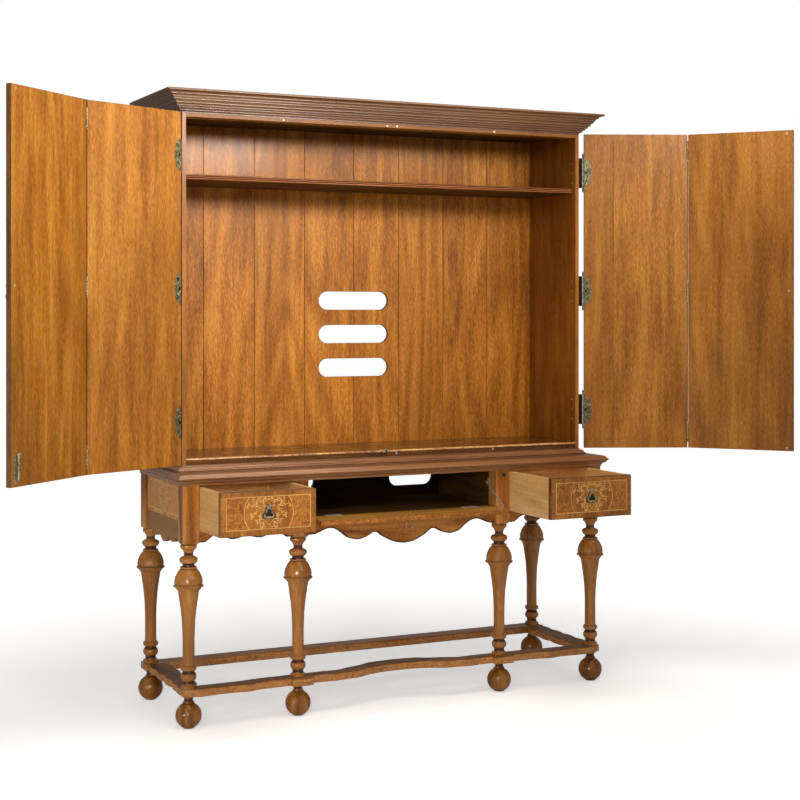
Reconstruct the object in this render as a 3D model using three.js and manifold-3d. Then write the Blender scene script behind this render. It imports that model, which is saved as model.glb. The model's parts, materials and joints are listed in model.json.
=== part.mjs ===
// A TV armoire: a shallow case with two pairs of folding doors, standing on a table-like
// stand with turned legs, two drawers and a drop-front compartment.
// Millimetres. X runs to the right, Y to the back and Z up. While the pieces are made, X = 0 is
// the middle of the case, Y = 0 is the front face of the case and Z = 0 is the floor.

import * as THREE from "three";
import Module from "manifold-3d";
import { mergeVertices } from "three/addons/utils/BufferGeometryUtils.js";

// Clearances
const SEATED = 0.3;          // between a piece and the curved or turned piece it sits against
const DRAWER_PLAY = 1.5;     // at each side of a drawer and over its front
const DOOR_PLAY = 3;         // between two door leaves
const DOOR_STANDOFF = 2;     // between a closed leaf and the front of the case
const KNUCKLE_PLAY = 0.5;    // round a hinge knuckle in its notch
const OVERRUN = 2;           // how far a cutter or a joined piece runs past a face

// The stand, from the floor up
const FOOT = {
  height: 110,
  ballRadius: 45,
  ballCentre: 43,
  padRadius: 20,
  neckRadius: 16,
  collarRadius: 20,
  collarHeight: 4,
};
const STRETCHER = {
  thickness: 27,
  frontReach: 62,            // from the front stretcher's front edge to its rear edge, at an end
  bow: 118,                  // how far the middle of the front stretcher bends back
  inset: 11,                 // how far the end blocks stand back from the face of the posts
  backWidth: 73,
  sideOuterInset: 3.5,
  sideWidth: 78,
  sideScallop: 8,
};
const LEG = {
  post: 58,
  postHeight: 201,
  turningHeight: 491,
  turningRadius: 52,
};
const STAND = {
  width: 1677,
  forward: 107,              // how far the stand's face is in front of the case
  middleLegX: 406.5,         // from the middle of the stand to the middle of an inner leg
};
const STAND_TOP = { thickness: 39, overhang: 23.5 };
const APRON = {
  thickness: 20,
  recess: 4,                 // behind the face of the posts
  bayDrop: 41,
  centreDrop: 91,
};
const SIDE_PANEL = { thickness: 18, recess: 8.5, drop: 220 };
const DRAWER_FLOOR = { thickness: 18, rise: 47, frontRecess: 24 };
const COMPARTMENT = { floorRise: 23 };
const DIVIDER = { thickness: 18, guideHeight: 15 };
const STAND_BACK = {
  thickness: 15,
  inset: 15,
  slotNear: 160,
  slotLength: 190,
  slotHeight: 70,
  slotRise: 60,
};

// Drawers, drop front and their pulls
const DRAWER = {
  frontThickness: 20,
  frontHeight: 148,
  boxLength: 400,
  wall: 12,
  bottomRise: 6,
  bottom: 6,
  leftOpening: 211,
  rightOpening: 298,
};
const FLAP = { thickness: 18, height: 127, sidePlay: 2, pullFromTop: 64 };
const STAY = {
  fromHinge: 77,
  pivotRise: 9,
  length: 150,
  width: 8,
  thickness: 3,
  fromFlapEdge: 2,
  angle: THREE.MathUtils.degToRad(31.5),
};
const DRAWER_PULL = { width: 42, thickness: 4, wire: 5.5, eyeRise: 1.5, lobeShare: 0.16, rise: 18 };
const FLAP_PULL = { width: 40, thickness: 3, wire: 4.5, eyeRise: 2, lobeShare: 0.1 };
const DOOR_PULL = { length: 36, radius: 6.2, fromEdge: 17, fromFloor: 1495 };

// The case
const CASE = {
  width: 1615,
  depth: 395,
  side: 15,
  baseHeight: 21,
  baseOverhang: 20,
  floorRise: 24,
  floorRounding: 7,
};
const CORNICE = {
  height: 76,
  overhang: 73,
  railHeight: 14,
  railDepth: 60,
  recess: 50,
  recessMargin: 45,
};
const BACK_PANEL = { thickness: 15, inset: 30 };
const CABLE_SLOT = { length: 293.2, height: 70, pitch: 129.5, lowestFromFloor: 258 };
const SHELF = { thickness: 19, fromFront: 25, belowTop: 229, reeds: 3, reedDepth: 3 };

// Doors: each side has an inner leaf on the case and an outer leaf folding on the inner one
const LEAF = { width: 405, thickness: 19, height: 1223 };
const DOOR = {
  pinOutside: 11,            // from the case's side to the case hinge pin
  edgeFromPin: 4,            // from that pin to the leaf's edge
  openAngle: THREE.MathUtils.degToRad(156.1),
  leftFold: THREE.MathUtils.degToRad(18.06),
  rightFold: THREE.MathUtils.degToRad(26),
};
const CASE_HINGE = {
  height: 117,
  barrelRadius: 3.5,
  finial: 19,
  plateReach: 37,
  plateThickness: 2.2,
  armThickness: 2.5,
  neckWidth: 3,
  endInset: 150,             // from the leaf's end to the middle of the first hinge
};
const FOLD_HINGE = { length: 70, barrelRadius: 3, topInset: 62, bottomInset: 59 };
const BOLT = {
  radius: 4,
  length: 46,
  handleHeight: 33,
  handleRadius: 8,
  fromEdge: 27,
  fromLeafEnd: 23.5,
  throw: 18,
};

// Where the middle of the opened armoire lies, from the middle of the case's front face
const ORIGIN = { x: -18, y: -40 };

// Heights of the floors and tops, from the sizes above
const STRETCHER_TOP = FOOT.height + STRETCHER.thickness;
const POST_BOTTOM = STRETCHER_TOP + LEG.turningHeight;
const FRAME_TOP = POST_BOTTOM + LEG.postHeight;
const TABLE_TOP = FRAME_TOP + STAND_TOP.thickness;
const BASE_TOP = TABLE_TOP + CASE.baseHeight;
const CASE_FLOOR = BASE_TOP + CASE.floorRise;
const LEAF_BOTTOM = BASE_TOP + DOOR_STANDOFF;
const LEAF_TOP = LEAF_BOTTOM + LEAF.height;
const CASE_TOP = LEAF_TOP;
const DRAWER_LEVEL = POST_BOTTOM + DRAWER_FLOOR.rise;
const COMPARTMENT_LEVEL = DRAWER_LEVEL + COMPARTMENT.floorRise;

// Planes across the armoire, from the sizes above
const STAND_FACE = -STAND.forward;
const STAND_REAR = CASE.depth;
const HALF_STAND = STAND.width / 2;
const HALF_POST = LEG.post / 2;
const OUTER_LEG_X = HALF_STAND - HALF_POST;
const FRONT_LEG_Y = STAND_FACE + HALF_POST;
const BACK_LEG_Y = STAND_REAR - HALF_POST;
const POST_REAR = STAND_FACE + LEG.post;
const BAY_OUTER = HALF_STAND - LEG.post;
const BAY_INNER = STAND.middleLegX + HALF_POST;
const BAY_MIDDLE = (BAY_OUTER + BAY_INNER) / 2;
const COMPARTMENT_HALF = STAND.middleLegX - HALF_POST;
const STAND_BACK_FRONT = STAND_REAR - STAND_BACK.inset - STAND_BACK.thickness;
const FLAP_INNER = STAND_FACE + FLAP.thickness;
const HALF_CASE = CASE.width / 2;
const CASE_INSIDE = HALF_CASE - CASE.side;
const BACK_PANEL_FRONT = CASE.depth - BACK_PANEL.inset - BACK_PANEL.thickness;

const SIDES = [{ name: "left", sign: -1 }, { name: "right", sign: 1 }];

// Finishes: colour, roughness and metalness of each material
const FINISHES = {
  walnut: [0x8a5226, 0.42, 0],
  moulding: [0x7a4a24, 0.4, 0],
  burr: [0x96602c, 0.38, 0],
  panel: [0x94601f, 0.45, 0],
  oak: [0xc19a5e, 0.55, 0],
  dark: [0x4a2f1a, 0.6, 0],
  brass: [0x8f7d4c, 0.42, 0.9],
};

function finish(name) {
  const [color, roughness, metalness] = FINISHES[name];
  return new THREE.MeshStandardMaterial({ color, roughness, metalness });
}

const wasm = await Module();
wasm.setup();

// A closed geometry as a solid that can be joined and cut.
function solidOf(geometry) {
  const bare = geometry.clone();
  bare.deleteAttribute("normal");
  bare.deleteAttribute("uv");
  const welded = mergeVertices(bare);
  return new wasm.Manifold(new wasm.Mesh({
    numProp: 3,
    vertProperties: welded.attributes.position.array,
    triVerts: new Uint32Array(welded.index.array),
  }));
}

function geometryOf(solid) {
  const { vertProperties, triVerts } = solid.getMesh();
  const geometry = new THREE.BufferGeometry();
  geometry.setAttribute("position", new THREE.BufferAttribute(vertProperties, 3));
  geometry.setIndex(new THREE.BufferAttribute(triVerts, 1));
  geometry.computeVertexNormals();
  return geometry;
}

function joined(first, ...others) {
  return geometryOf(others.reduce((sum, other) => sum.add(solidOf(other)), solidOf(first)));
}

function cut(body, ...cutters) {
  return geometryOf(cutters.reduce((rest, cutter) => rest.subtract(solidOf(cutter)), solidOf(body)));
}

// A box between two corners.
function block([x0, y0, z0], [x1, y1, z1]) {
  const geometry = new THREE.BoxGeometry(Math.abs(x1 - x0), Math.abs(y1 - y0), Math.abs(z1 - z0));
  return geometry.translate((x0 + x1) / 2, (y0 + y1) / 2, (z0 + z1) / 2);
}

// An upright rod between two heights.
function rod(x, y, low, high, radius, sides) {
  const geometry = new THREE.CylinderGeometry(radius, radius, high - low, sides);
  geometry.rotateX(Math.PI / 2);
  return geometry.translate(x, y, (low + high) / 2);
}

function extruded(shape, depth) {
  return new THREE.ExtrudeGeometry(shape, { depth, bevelEnabled: false, curveSegments: 2 });
}

// A board with its outline in X and Z, from its front face back.
function uprightBoard(shape, thickness, front) {
  const basis = new THREE.Matrix4().makeBasis(
    new THREE.Vector3(1, 0, 0),
    new THREE.Vector3(0, 0, 1),
    new THREE.Vector3(0, -1, 0),
  );
  return extruded(shape, thickness).applyMatrix4(basis).translate(0, front + thickness, 0);
}

// A board or rail with its outline in Y and Z, from a low X to a high one.
function crosswiseBoard(shape, low, high) {
  const basis = new THREE.Matrix4().makeBasis(
    new THREE.Vector3(0, 1, 0),
    new THREE.Vector3(0, 0, 1),
    new THREE.Vector3(1, 0, 0),
  );
  return extruded(shape, high - low).applyMatrix4(basis).translate(low, 0, 0);
}

// A round piece turned about an upright axis, from a profile of radius and height.
function turned(profile, sides) {
  return new THREE.LatheGeometry(profile, sides).rotateX(Math.PI / 2);
}

// A slab whose front and side edges follow a moulding profile and meet in mitres. The profile
// holds the overhang and the height of each point, from the bottom up. The rear stays flush.
function mouldedSlab(profile, halfWidth, front, rear) {
  const corners = profile.flatMap(([overhang, height]) => [
    [-halfWidth - overhang, front - overhang, height],
    [halfWidth + overhang, front - overhang, height],
    [halfWidth + overhang, rear, height],
    [-halfWidth - overhang, rear, height],
  ]);
  const last = corners.length - 4;
  const faces = [0, 2, 1, 0, 3, 2, last, last + 1, last + 2, last, last + 2, last + 3];
  for (let ring = 0; ring < last; ring += 4) {
    for (let corner = 0; corner < 4; corner += 1) {
      const a = ring + corner;
      const b = ring + (corner + 1) % 4;
      faces.push(a, b, b + 4, a, b + 4, a + 4);
    }
  }
  const geometry = new THREE.BufferGeometry();
  geometry.setAttribute("position", new THREE.Float32BufferAttribute(corners.flat(), 3));
  geometry.setIndex(faces);
  return geometry;
}

function profileFrom(shares, overhang, bottom, height) {
  return shares.map(([overhangShare, heightShare]) => [
    overhangShare * overhang,
    bottom + heightShare * height,
  ]);
}

const armoire = new THREE.Group();

function piece(name, geometry, finishName, parent = armoire) {
  const mesh = new THREE.Mesh(geometry, finish(finishName));
  mesh.name = name;
  parent.add(mesh);
  return mesh;
}

// Feet and legs

function footProfile() {
  const ballAngle = (radius) => Math.acos(radius / FOOT.ballRadius);
  const low = -ballAngle(FOOT.padRadius);
  const high = ballAngle(FOOT.neckRadius);
  const steps = 7;
  const profile = [new THREE.Vector2(0, 0), new THREE.Vector2(FOOT.padRadius, 0)];
  for (let step = 0; step <= steps; step += 1) {
    const angle = low + (high - low) * step / steps;
    const radius = FOOT.ballRadius * Math.cos(angle);
    profile.push(new THREE.Vector2(radius, FOOT.ballCentre + FOOT.ballRadius * Math.sin(angle)));
  }
  const collar = FOOT.ballCentre + FOOT.ballRadius * Math.sin(high);
  profile.push(new THREE.Vector2(FOOT.collarRadius, collar));
  profile.push(new THREE.Vector2(FOOT.collarRadius, collar + FOOT.collarHeight));
  profile.push(new THREE.Vector2(FOOT.neckRadius, collar + FOOT.collarHeight));
  profile.push(new THREE.Vector2(FOOT.neckRadius, FOOT.height - FOOT.collarHeight));
  profile.push(new THREE.Vector2(FOOT.collarRadius, FOOT.height));
  profile.push(new THREE.Vector2(0, FOOT.height));
  return profile;
}

// The turning from the stretcher up to the post, as height and radius shares. A row of three
// more values is a round swelling: from the height, up to a second height, with its neck
// radius and its widest radius.
const TURNING_SHARES = [
  [0, 0.527], [0.018, 0.527], [0.03, 0.37],
  [0.053, 0.108, 0.385, 0.527],
  [0.118, 0.159, 0.394, 0.533],
  [0.332, 0.394], [0.401, 0.413], [0.47, 0.448], [0.54, 0.513], [0.609, 0.606],
  [0.678, 0.704], [0.7, 0.85], [0.703, 1], [0.717, 1], [0.72, 0.923], [0.749, 0.923],
  [0.784, 0.827], [0.819, 0.635], [0.829, 0.54], [0.843, 0.54], [0.847, 0.4],
  [0.864, 0.916, 0.385, 0.612],
  [0.927, 0.296], [0.953, 0.35], [0.971, 0.46], [0.973, 0.548], [0.996, 0.548], [0.998, 0.46],
];

function turningProfile() {
  const at = (heightShare, radiusShare) => new THREE.Vector2(
    radiusShare * LEG.turningRadius,
    STRETCHER_TOP + heightShare * LEG.turningHeight,
  );
  const profile = [new THREE.Vector2(0, STRETCHER_TOP)];
  for (const [low, second, neck, widest] of TURNING_SHARES) {
    if (neck === undefined) {
      profile.push(at(low, second));
      continue;
    }
    for (let step = 0; step <= 4; step += 1) {
      const swelling = Math.sin(Math.PI * step / 4);
      profile.push(at(low + (second - low) * step / 4, neck + (widest - neck) * swelling));
    }
  }
  const top = POST_BOTTOM + OVERRUN;
  profile.push(new THREE.Vector2(profile.at(-1).x, top));
  profile.push(new THREE.Vector2(0, top));
  return profile;
}

function legGeometry() {
  const post = block([-HALF_POST, -HALF_POST, POST_BOTTOM], [HALF_POST, HALF_POST, FRAME_TOP]);
  return joined(post, turned(turningProfile(), 12));
}

const LEGS = [
  ["front_left", -OUTER_LEG_X, FRONT_LEG_Y],
  ["front_mid_left", -STAND.middleLegX, FRONT_LEG_Y],
  ["front_mid_right", STAND.middleLegX, FRONT_LEG_Y],
  ["front_right", OUTER_LEG_X, FRONT_LEG_Y],
  ["back_left", -OUTER_LEG_X, BACK_LEG_Y],
  ["back_right", OUTER_LEG_X, BACK_LEG_Y],
];

function addLegs() {
  for (const [place, x, y] of LEGS) {
    piece(`leg_${place}`, legGeometry(), "walnut").position.set(x, y, 0);
    piece(`foot_${place}`, turned(footProfile(), 12), "walnut").position.set(x, y, 0);
  }
}

// Stretchers

// Edges of the front stretcher from the middle to an end, in runs that meet at corners: shares
// of the half width, and of the bow counted forward from the middle of the rear edge.
const STRETCHER_FRONT_RUNS_SHARES = [
  [[0, 0.58], [0.075, 0.61], [0.15, 0.75], [0.21, 0.95], [0.27, 0.99]],
  [[0.27, 0.99], [0.325, 1.06], [0.39, 0.99], [0.436, 1.02]],
  [[0.436, 1.24], [0.53, 1.24]],
  [[0.53, 1.05], [0.6, 1.06], [0.66, 1.08], [0.722, 1.2]],
  [[0.722, 1.2], [0.78, 1.13], [0.86, 1.14], [0.93, 1.2]],
];
const STRETCHER_REAR_RUNS_SHARES = [
  [[0.92, 0.68], [0.8, 0.68], [0.722, 0.66]],
  [[0.722, 0.66], [0.66, 0.6], [0.58, 0.58], [0.5, 0.57], [0.43, 0.57], [0.36, 0.56]],
  [[0.36, 0.56], [0.29, 0.58], [0.235, 0.43], [0.16, 0.26], [0.107, 0.07], [0, 0]],
];

function frontStretcherGeometry() {
  const end = HALF_STAND - SEATED;
  const rearMiddle = STAND_FACE + STRETCHER.inset + STRETCHER.frontReach - STRETCHER.thickness
    + STRETCHER.bow * 0.68;
  const forwardEnd = STAND_FACE + STRETCHER.inset;
  const rearEnd = forwardEnd + STRETCHER.frontReach;
  const at = ([xShare, forwardShare], sign) => new THREE.Vector2(
    sign * xShare * HALF_STAND,
    rearMiddle - forwardShare * STRETCHER.bow,
  );
  const shape = new THREE.Shape();
  const frontRuns = STRETCHER_FRONT_RUNS_SHARES;
  shape.moveTo(0, at(frontRuns[0][0], 1).y);
  const follow = (run, sign) => {
    const points = run.map((shares) => at(shares, sign));
    shape.lineTo(points[0].x, points[0].y);
    shape.splineThru(points.slice(1));
  };
  frontRuns.forEach((run) => follow(run, 1));
  shape.lineTo(end, forwardEnd);
  shape.lineTo(end, rearEnd);
  STRETCHER_REAR_RUNS_SHARES.forEach((run) => follow(run, 1));
  STRETCHER_REAR_RUNS_SHARES.toReversed().forEach((run) => follow(run.toReversed(), -1));
  shape.lineTo(-end, rearEnd);
  shape.lineTo(-end, forwardEnd);
  frontRuns.toReversed().forEach((run) => follow(run.toReversed(), -1));
  shape.closePath();
  return extruded(shape, STRETCHER.thickness).translate(0, 0, FOOT.height);
}

function sideStretcherGeometry(sign) {
  const front = STAND_FACE + STRETCHER.inset + STRETCHER.frontReach;
  const rear = STAND_REAR - STRETCHER.backWidth;
  const outer = HALF_STAND - STRETCHER.sideOuterInset;
  const inner = outer - STRETCHER.sideWidth;
  const steps = 24;
  const lobes = 4;
  const edge = (base, step, toward) => new THREE.Vector2(
    sign * (base + toward * STRETCHER.sideScallop
      * Math.abs(Math.sin(Math.PI * lobes * step / steps)) * (step > 0 && step < steps ? 1 : 0)),
    front + (rear - front) * step / steps,
  );
  const outline = [];
  for (let step = 0; step <= steps; step += 1) {
    outline.push(edge(outer - STRETCHER.sideScallop, step, 1));
  }
  for (let step = steps; step >= 0; step -= 1) {
    outline.push(edge(inner + STRETCHER.sideScallop, step, -1));
  }
  return extruded(new THREE.Shape(outline), STRETCHER.thickness).translate(0, 0, FOOT.height);
}

function addStretchers() {
  piece("stretcher_front", frontStretcherGeometry(), "walnut");
  const backFront = STAND_REAR - STRETCHER.backWidth;
  piece("stretcher_back", block(
    [-HALF_STAND, backFront, FOOT.height],
    [HALF_STAND, STAND_REAR, STRETCHER_TOP],
  ), "walnut");
  for (const { name, sign } of SIDES) {
    piece(`stretcher_${name}`, sideStretcherGeometry(sign), "walnut");
  }
}

// Aprons and side panels: boards with a scalloped lower edge

// Lower edges from the middle to an end, in runs that meet at cusps: shares of the half length,
// and of the drop below the board's top.
const CENTRE_APRON_RUNS_SHARES = [
  [[0, 1], [0.1, 0.934], [0.212, 0.714], [0.252, 0.593], [0.286, 0.49]],
  [[0.286, 0.49], [0.339, 0.49]],
  [[0.339, 0.49], [0.381, 0.604], [0.432, 0.69], [0.493, 0.736], [0.556, 0.69], [0.596, 0.626],
    [0.662, 0.407], [0.72, 0.275], [0.784, 0.22], [0.842, 0.275], [0.887, 0.35], [0.93, 0.42]],
  [[0.93, 0.42], [1, 0.43]],
];
const BAY_APRON_RUNS_SHARES = [
  [[0, 0.68], [0.1, 0.76], [0.28, 0.9], [0.42, 0.76], [0.52, 0.54], [0.62, 0.44], [0.72, 0.54],
    [0.8, 0.78], [0.867, 0.94]],
  [[0.867, 1], [1, 1]],
];
const SIDE_APRON_RUNS_SHARES = [
  [[0, 1], [0.1, 0.985], [0.18, 0.94], [0.27, 0.895]],
  [[0.27, 0.895], [0.33, 0.895]],
  [[0.33, 0.895], [0.42, 0.94], [0.52, 0.95], [0.6, 0.93], [0.68, 0.88], [0.76, 0.855],
    [0.84, 0.87], [0.9, 0.9]],
  [[0.9, 0.9], [1, 0.9]],
];

function scallopedShape(runs, middle, halfLength, top, drop) {
  const shape = new THREE.Shape();
  const at = ([alongShare, dropShare], sign) => new THREE.Vector2(
    middle + sign * alongShare * halfLength,
    top - dropShare * drop,
  );
  const follow = (run, sign) => {
    const points = run.map((shares) => at(shares, sign));
    shape.lineTo(points[0].x, points[0].y);
    shape.splineThru(points.slice(1));
  };
  shape.moveTo(middle - halfLength, top);
  runs.toReversed().forEach((run) => follow(run.toReversed(), -1));
  runs.forEach((run) => follow(run, 1));
  shape.lineTo(middle + halfLength, top);
  shape.closePath();
  return shape;
}

function addAprons() {
  const front = STAND_FACE + APRON.recess;
  const halfBay = (BAY_OUTER - BAY_INNER) / 2;
  const centre = scallopedShape(
    CENTRE_APRON_RUNS_SHARES, 0, COMPARTMENT_HALF, DRAWER_LEVEL, APRON.centreDrop,
  );
  piece("apron_centre", uprightBoard(centre, APRON.thickness, front), "walnut");
  for (const { name, sign } of SIDES) {
    const bay = scallopedShape(
      BAY_APRON_RUNS_SHARES, sign * BAY_MIDDLE, halfBay, DRAWER_LEVEL, APRON.bayDrop,
    );
    piece(`apron_${name}`, uprightBoard(bay, APRON.thickness, front), "walnut");
  }
}

// A side panel between two posts, with the drawer's guide strip glued to its inner face.
function sidePanelGeometry(sign) {
  const rear = STAND_REAR - LEG.post;
  const middle = (POST_REAR + rear) / 2;
  const outline = scallopedShape(
    SIDE_APRON_RUNS_SHARES, middle, (rear - POST_REAR) / 2, FRAME_TOP, SIDE_PANEL.drop,
  );
  const outer = HALF_STAND - SIDE_PANEL.recess;
  const inner = outer - SIDE_PANEL.thickness;
  const low = sign > 0 ? inner : -outer;
  const board = crosswiseBoard(outline, low, low + SIDE_PANEL.thickness);
  const guide = block(
    [sign * BAY_OUTER, POST_REAR, DRAWER_LEVEL],
    [sign * (inner + OVERRUN), rear, DRAWER_LEVEL + DIVIDER.guideHeight],
  );
  return joined(board, guide);
}

// Floors, dividers, back and top of the stand

// One board under all three bays, raised in the middle, notched round the inner posts.
function dustBoardGeometry() {
  const front = STAND_FACE + DRAWER_FLOOR.frontRecess;
  const low = DRAWER_LEVEL - DRAWER_FLOOR.thickness;
  const base = block([-BAY_OUTER, front, low], [BAY_OUTER, STAND_BACK_FRONT, DRAWER_LEVEL]);
  const raised = block(
    [-COMPARTMENT_HALF, FLAP_INNER + SEATED, DRAWER_LEVEL],
    [COMPARTMENT_HALF, STAND_BACK_FRONT, COMPARTMENT_LEVEL],
  );
  const notches = SIDES.map(({ sign }) => block(
    [sign * COMPARTMENT_HALF, STAND_FACE, low - OVERRUN],
    [sign * BAY_INNER, POST_REAR, COMPARTMENT_LEVEL],
  ));
  return cut(joined(base, raised), ...notches);
}

function dividerGeometry(sign) {
  const wall = COMPARTMENT_HALF + DIVIDER.thickness;
  const board = block(
    [sign * COMPARTMENT_HALF, POST_REAR, DRAWER_LEVEL],
    [sign * wall, STAND_BACK_FRONT, FRAME_TOP],
  );
  const guide = block(
    [sign * (wall - OVERRUN), POST_REAR, DRAWER_LEVEL],
    [sign * BAY_INNER, STAND_BACK_FRONT, DRAWER_LEVEL + DIVIDER.guideHeight],
  );
  return joined(board, guide);
}

function slotPath(middleX, low, length, height) {
  const radius = height / 2;
  const reach = length / 2 - radius;
  const path = new THREE.Path();
  for (const [x, start] of [[reach, -Math.PI / 2], [-reach, Math.PI / 2]]) {
    for (let step = 0; step <= 8; step += 1) {
      const angle = start + Math.PI * step / 8;
      const px = middleX + x + radius * Math.cos(angle);
      const pz = low + radius + radius * Math.sin(angle);
      if (path.curves.length === 0 && step === 0 && x > 0) {
        path.moveTo(px, pz);
      } else {
        path.lineTo(px, pz);
      }
    }
  }
  path.closePath();
  return path;
}

function rectangle(left, low, right, high) {
  const shape = new THREE.Shape();
  shape.moveTo(left, low);
  shape.lineTo(right, low);
  shape.lineTo(right, high);
  shape.lineTo(left, high);
  shape.closePath();
  return shape;
}

function standBackGeometry() {
  const low = DRAWER_LEVEL - DRAWER_FLOOR.thickness;
  const shape = rectangle(-BAY_OUTER, low, BAY_OUTER, FRAME_TOP);
  for (const { sign } of SIDES) {
    const middle = sign * (STAND_BACK.slotNear + STAND_BACK.slotLength / 2);
    shape.holes.push(slotPath(
      middle, DRAWER_LEVEL + STAND_BACK.slotRise, STAND_BACK.slotLength, STAND_BACK.slotHeight,
    ));
  }
  return uprightBoard(shape, STAND_BACK.thickness, STAND_BACK_FRONT);
}

// Moulding profiles from the bottom up, as shares of the overhang and of the height.
const STAND_TOP_SHARES = [
  [0, 0], [0.17, 0.1], [0.32, 0.3], [0.72, 0.46], [0.86, 0.5], [1, 0.66], [0.9, 0.8], [0.43, 1],
];
const BASE_SHARES = [[0.87, 0], [1, 0.19], [0.85, 0.5], [0.6, 0.76], [0.15, 0.9], [0, 1]];
const CORNICE_SHARES = [
  [0, 0], [0, 0.04], [0.1, 0.06], [0.12, 0.13], [0.22, 0.21], [0.315, 0.276], [0.34, 0.34],
  [0.43, 0.4], [0.545, 0.553], [0.623, 0.645], [0.736, 0.771], [0.89, 0.895], [0.99, 0.91],
  [1, 1],
];

// The stand's moulded top, with the base moulding that the case is dropped into.
function standTopGeometry() {
  const waist = profileFrom(
    STAND_TOP_SHARES, STAND_TOP.overhang, FRAME_TOP, STAND_TOP.thickness,
  );
  const base = profileFrom(BASE_SHARES, CASE.baseOverhang, TABLE_TOP, CASE.baseHeight);
  base.unshift([base[0][0], TABLE_TOP - OVERRUN]);
  return joined(
    mouldedSlab(waist, HALF_STAND, STAND_FACE, STAND_REAR),
    mouldedSlab(base, HALF_CASE, 0, CASE.depth),
  );
}

function addStand() {
  addLegs();
  addStretchers();
  addAprons();
  for (const { name, sign } of SIDES) {
    piece(`side_panel_${name}`, sidePanelGeometry(sign), "walnut");
    piece(`divider_${name}`, dividerGeometry(sign), "panel");
  }
  piece("drawer_floor", dustBoardGeometry(), "panel");
  piece("stand_back", standBackGeometry(), "dark");
  piece("stand_top", standTopGeometry(), "moulding");
}

// Drawers

// A bail: a closed ring with three soft lobes, hanging from a pin in the middle of its top.
function bailGeometry({ width, thickness, wire, eyeRise, lobeShare }) {
  const radius = width / 2;
  const sides = 24;
  const ring = (inset) => Array.from({ length: sides }, (unused, step) => {
    const angle = 2 * Math.PI * step / sides;
    const lobe = lobeShare * (1 - Math.cos(3 * (angle - Math.PI / 2)));
    const reach = radius * (1 - lobe) - inset;
    return new THREE.Vector2(reach * Math.cos(angle), reach * Math.sin(angle) - radius + eyeRise);
  });
  const shape = new THREE.Shape(ring(0));
  shape.holes.push(new THREE.Path(ring(wire)));
  return uprightBoard(shape, thickness, -thickness / 2);
}

// How far a bail's pin stands off the face, so that its eye clears the face as it turns.
function pinStandoff({ thickness, eyeRise }) {
  return Math.hypot(thickness / 2, eyeRise) + SEATED;
}

function drawerBoxGeometry(halfWidth, front) {
  const low = DRAWER_LEVEL + SEATED;
  const top = DRAWER_LEVEL + DRAWER_PLAY + DRAWER.frontHeight;
  const rear = front + DRAWER.boxLength;
  const outer = block([-halfWidth, front, low], [halfWidth, rear, top]);
  const inside = block(
    [-halfWidth + DRAWER.wall, front - OVERRUN, low + DRAWER.bottomRise + DRAWER.bottom],
    [halfWidth - DRAWER.wall, rear - DRAWER.wall, top + OVERRUN],
  );
  return cut(outer, inside);
}

function addDrawers() {
  const openings = { left: DRAWER.leftOpening, right: DRAWER.rightOpening };
  const halfWidth = (BAY_OUTER - BAY_INNER) / 2 - DRAWER_PLAY;
  const low = DRAWER_LEVEL + DRAWER_PLAY;
  const pullHeight = low + DRAWER.frontHeight / 2 + DRAWER_PULL.rise;
  for (const { name, sign } of SIDES) {
    const drawer = new THREE.Group();
    drawer.position.set(sign * BAY_MIDDLE, STAND_FACE - openings[name], 0);
    armoire.add(drawer);
    piece(`drawer_box_${name}`, drawerBoxGeometry(halfWidth, DRAWER.frontThickness), "oak", drawer);
    piece(`drawer_front_${name}`, block(
      [-halfWidth, 0, low],
      [halfWidth, DRAWER.frontThickness, low + DRAWER.frontHeight],
    ), "burr", drawer);
    const pull = piece(`drawer_pull_${name}`, bailGeometry(DRAWER_PULL), "brass", drawer);
    pull.position.set(0, -pinStandoff(DRAWER_PULL), pullHeight);
  }
}

// Drop front: it lies open, level with the compartment's floor

function stayGeometry() {
  const eye = STAY.pivotRise - SEATED;
  const half = STAY.width / 2;
  const meeting = Math.asin(half / eye);
  const shape = new THREE.Shape();
  shape.moveTo(STAY.length, -half);
  shape.lineTo(STAY.length, half);
  const steps = 10;
  for (let step = 0; step <= steps; step += 1) {
    const angle = meeting + (2 * Math.PI - 2 * meeting) * step / steps;
    shape.lineTo(eye * Math.cos(angle), eye * Math.sin(angle));
  }
  shape.closePath();
  return crosswiseBoard(shape, -STAY.thickness / 2, STAY.thickness / 2);
}

function addFlap() {
  const flap = new THREE.Group();
  flap.position.set(0, FLAP_INNER, COMPARTMENT_LEVEL);
  armoire.add(flap);
  const halfWidth = COMPARTMENT_HALF - FLAP.sidePlay;
  piece("flap", block([-halfWidth, -FLAP.height, -FLAP.thickness], [halfWidth, 0, 0]), "burr", flap);
  const stay = piece("flap_stay", stayGeometry(), "brass", flap);
  stay.position.set(
    halfWidth - STAY.fromFlapEdge - STAY.thickness / 2, -STAY.fromHinge, STAY.pivotRise,
  );
  stay.rotation.x = STAY.angle;
  const pull = piece("flap_pull", bailGeometry(FLAP_PULL), "brass", flap);
  pull.position.set(0, -FLAP.pullFromTop, -FLAP.thickness - pinStandoff(FLAP_PULL));
}

// Case

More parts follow.
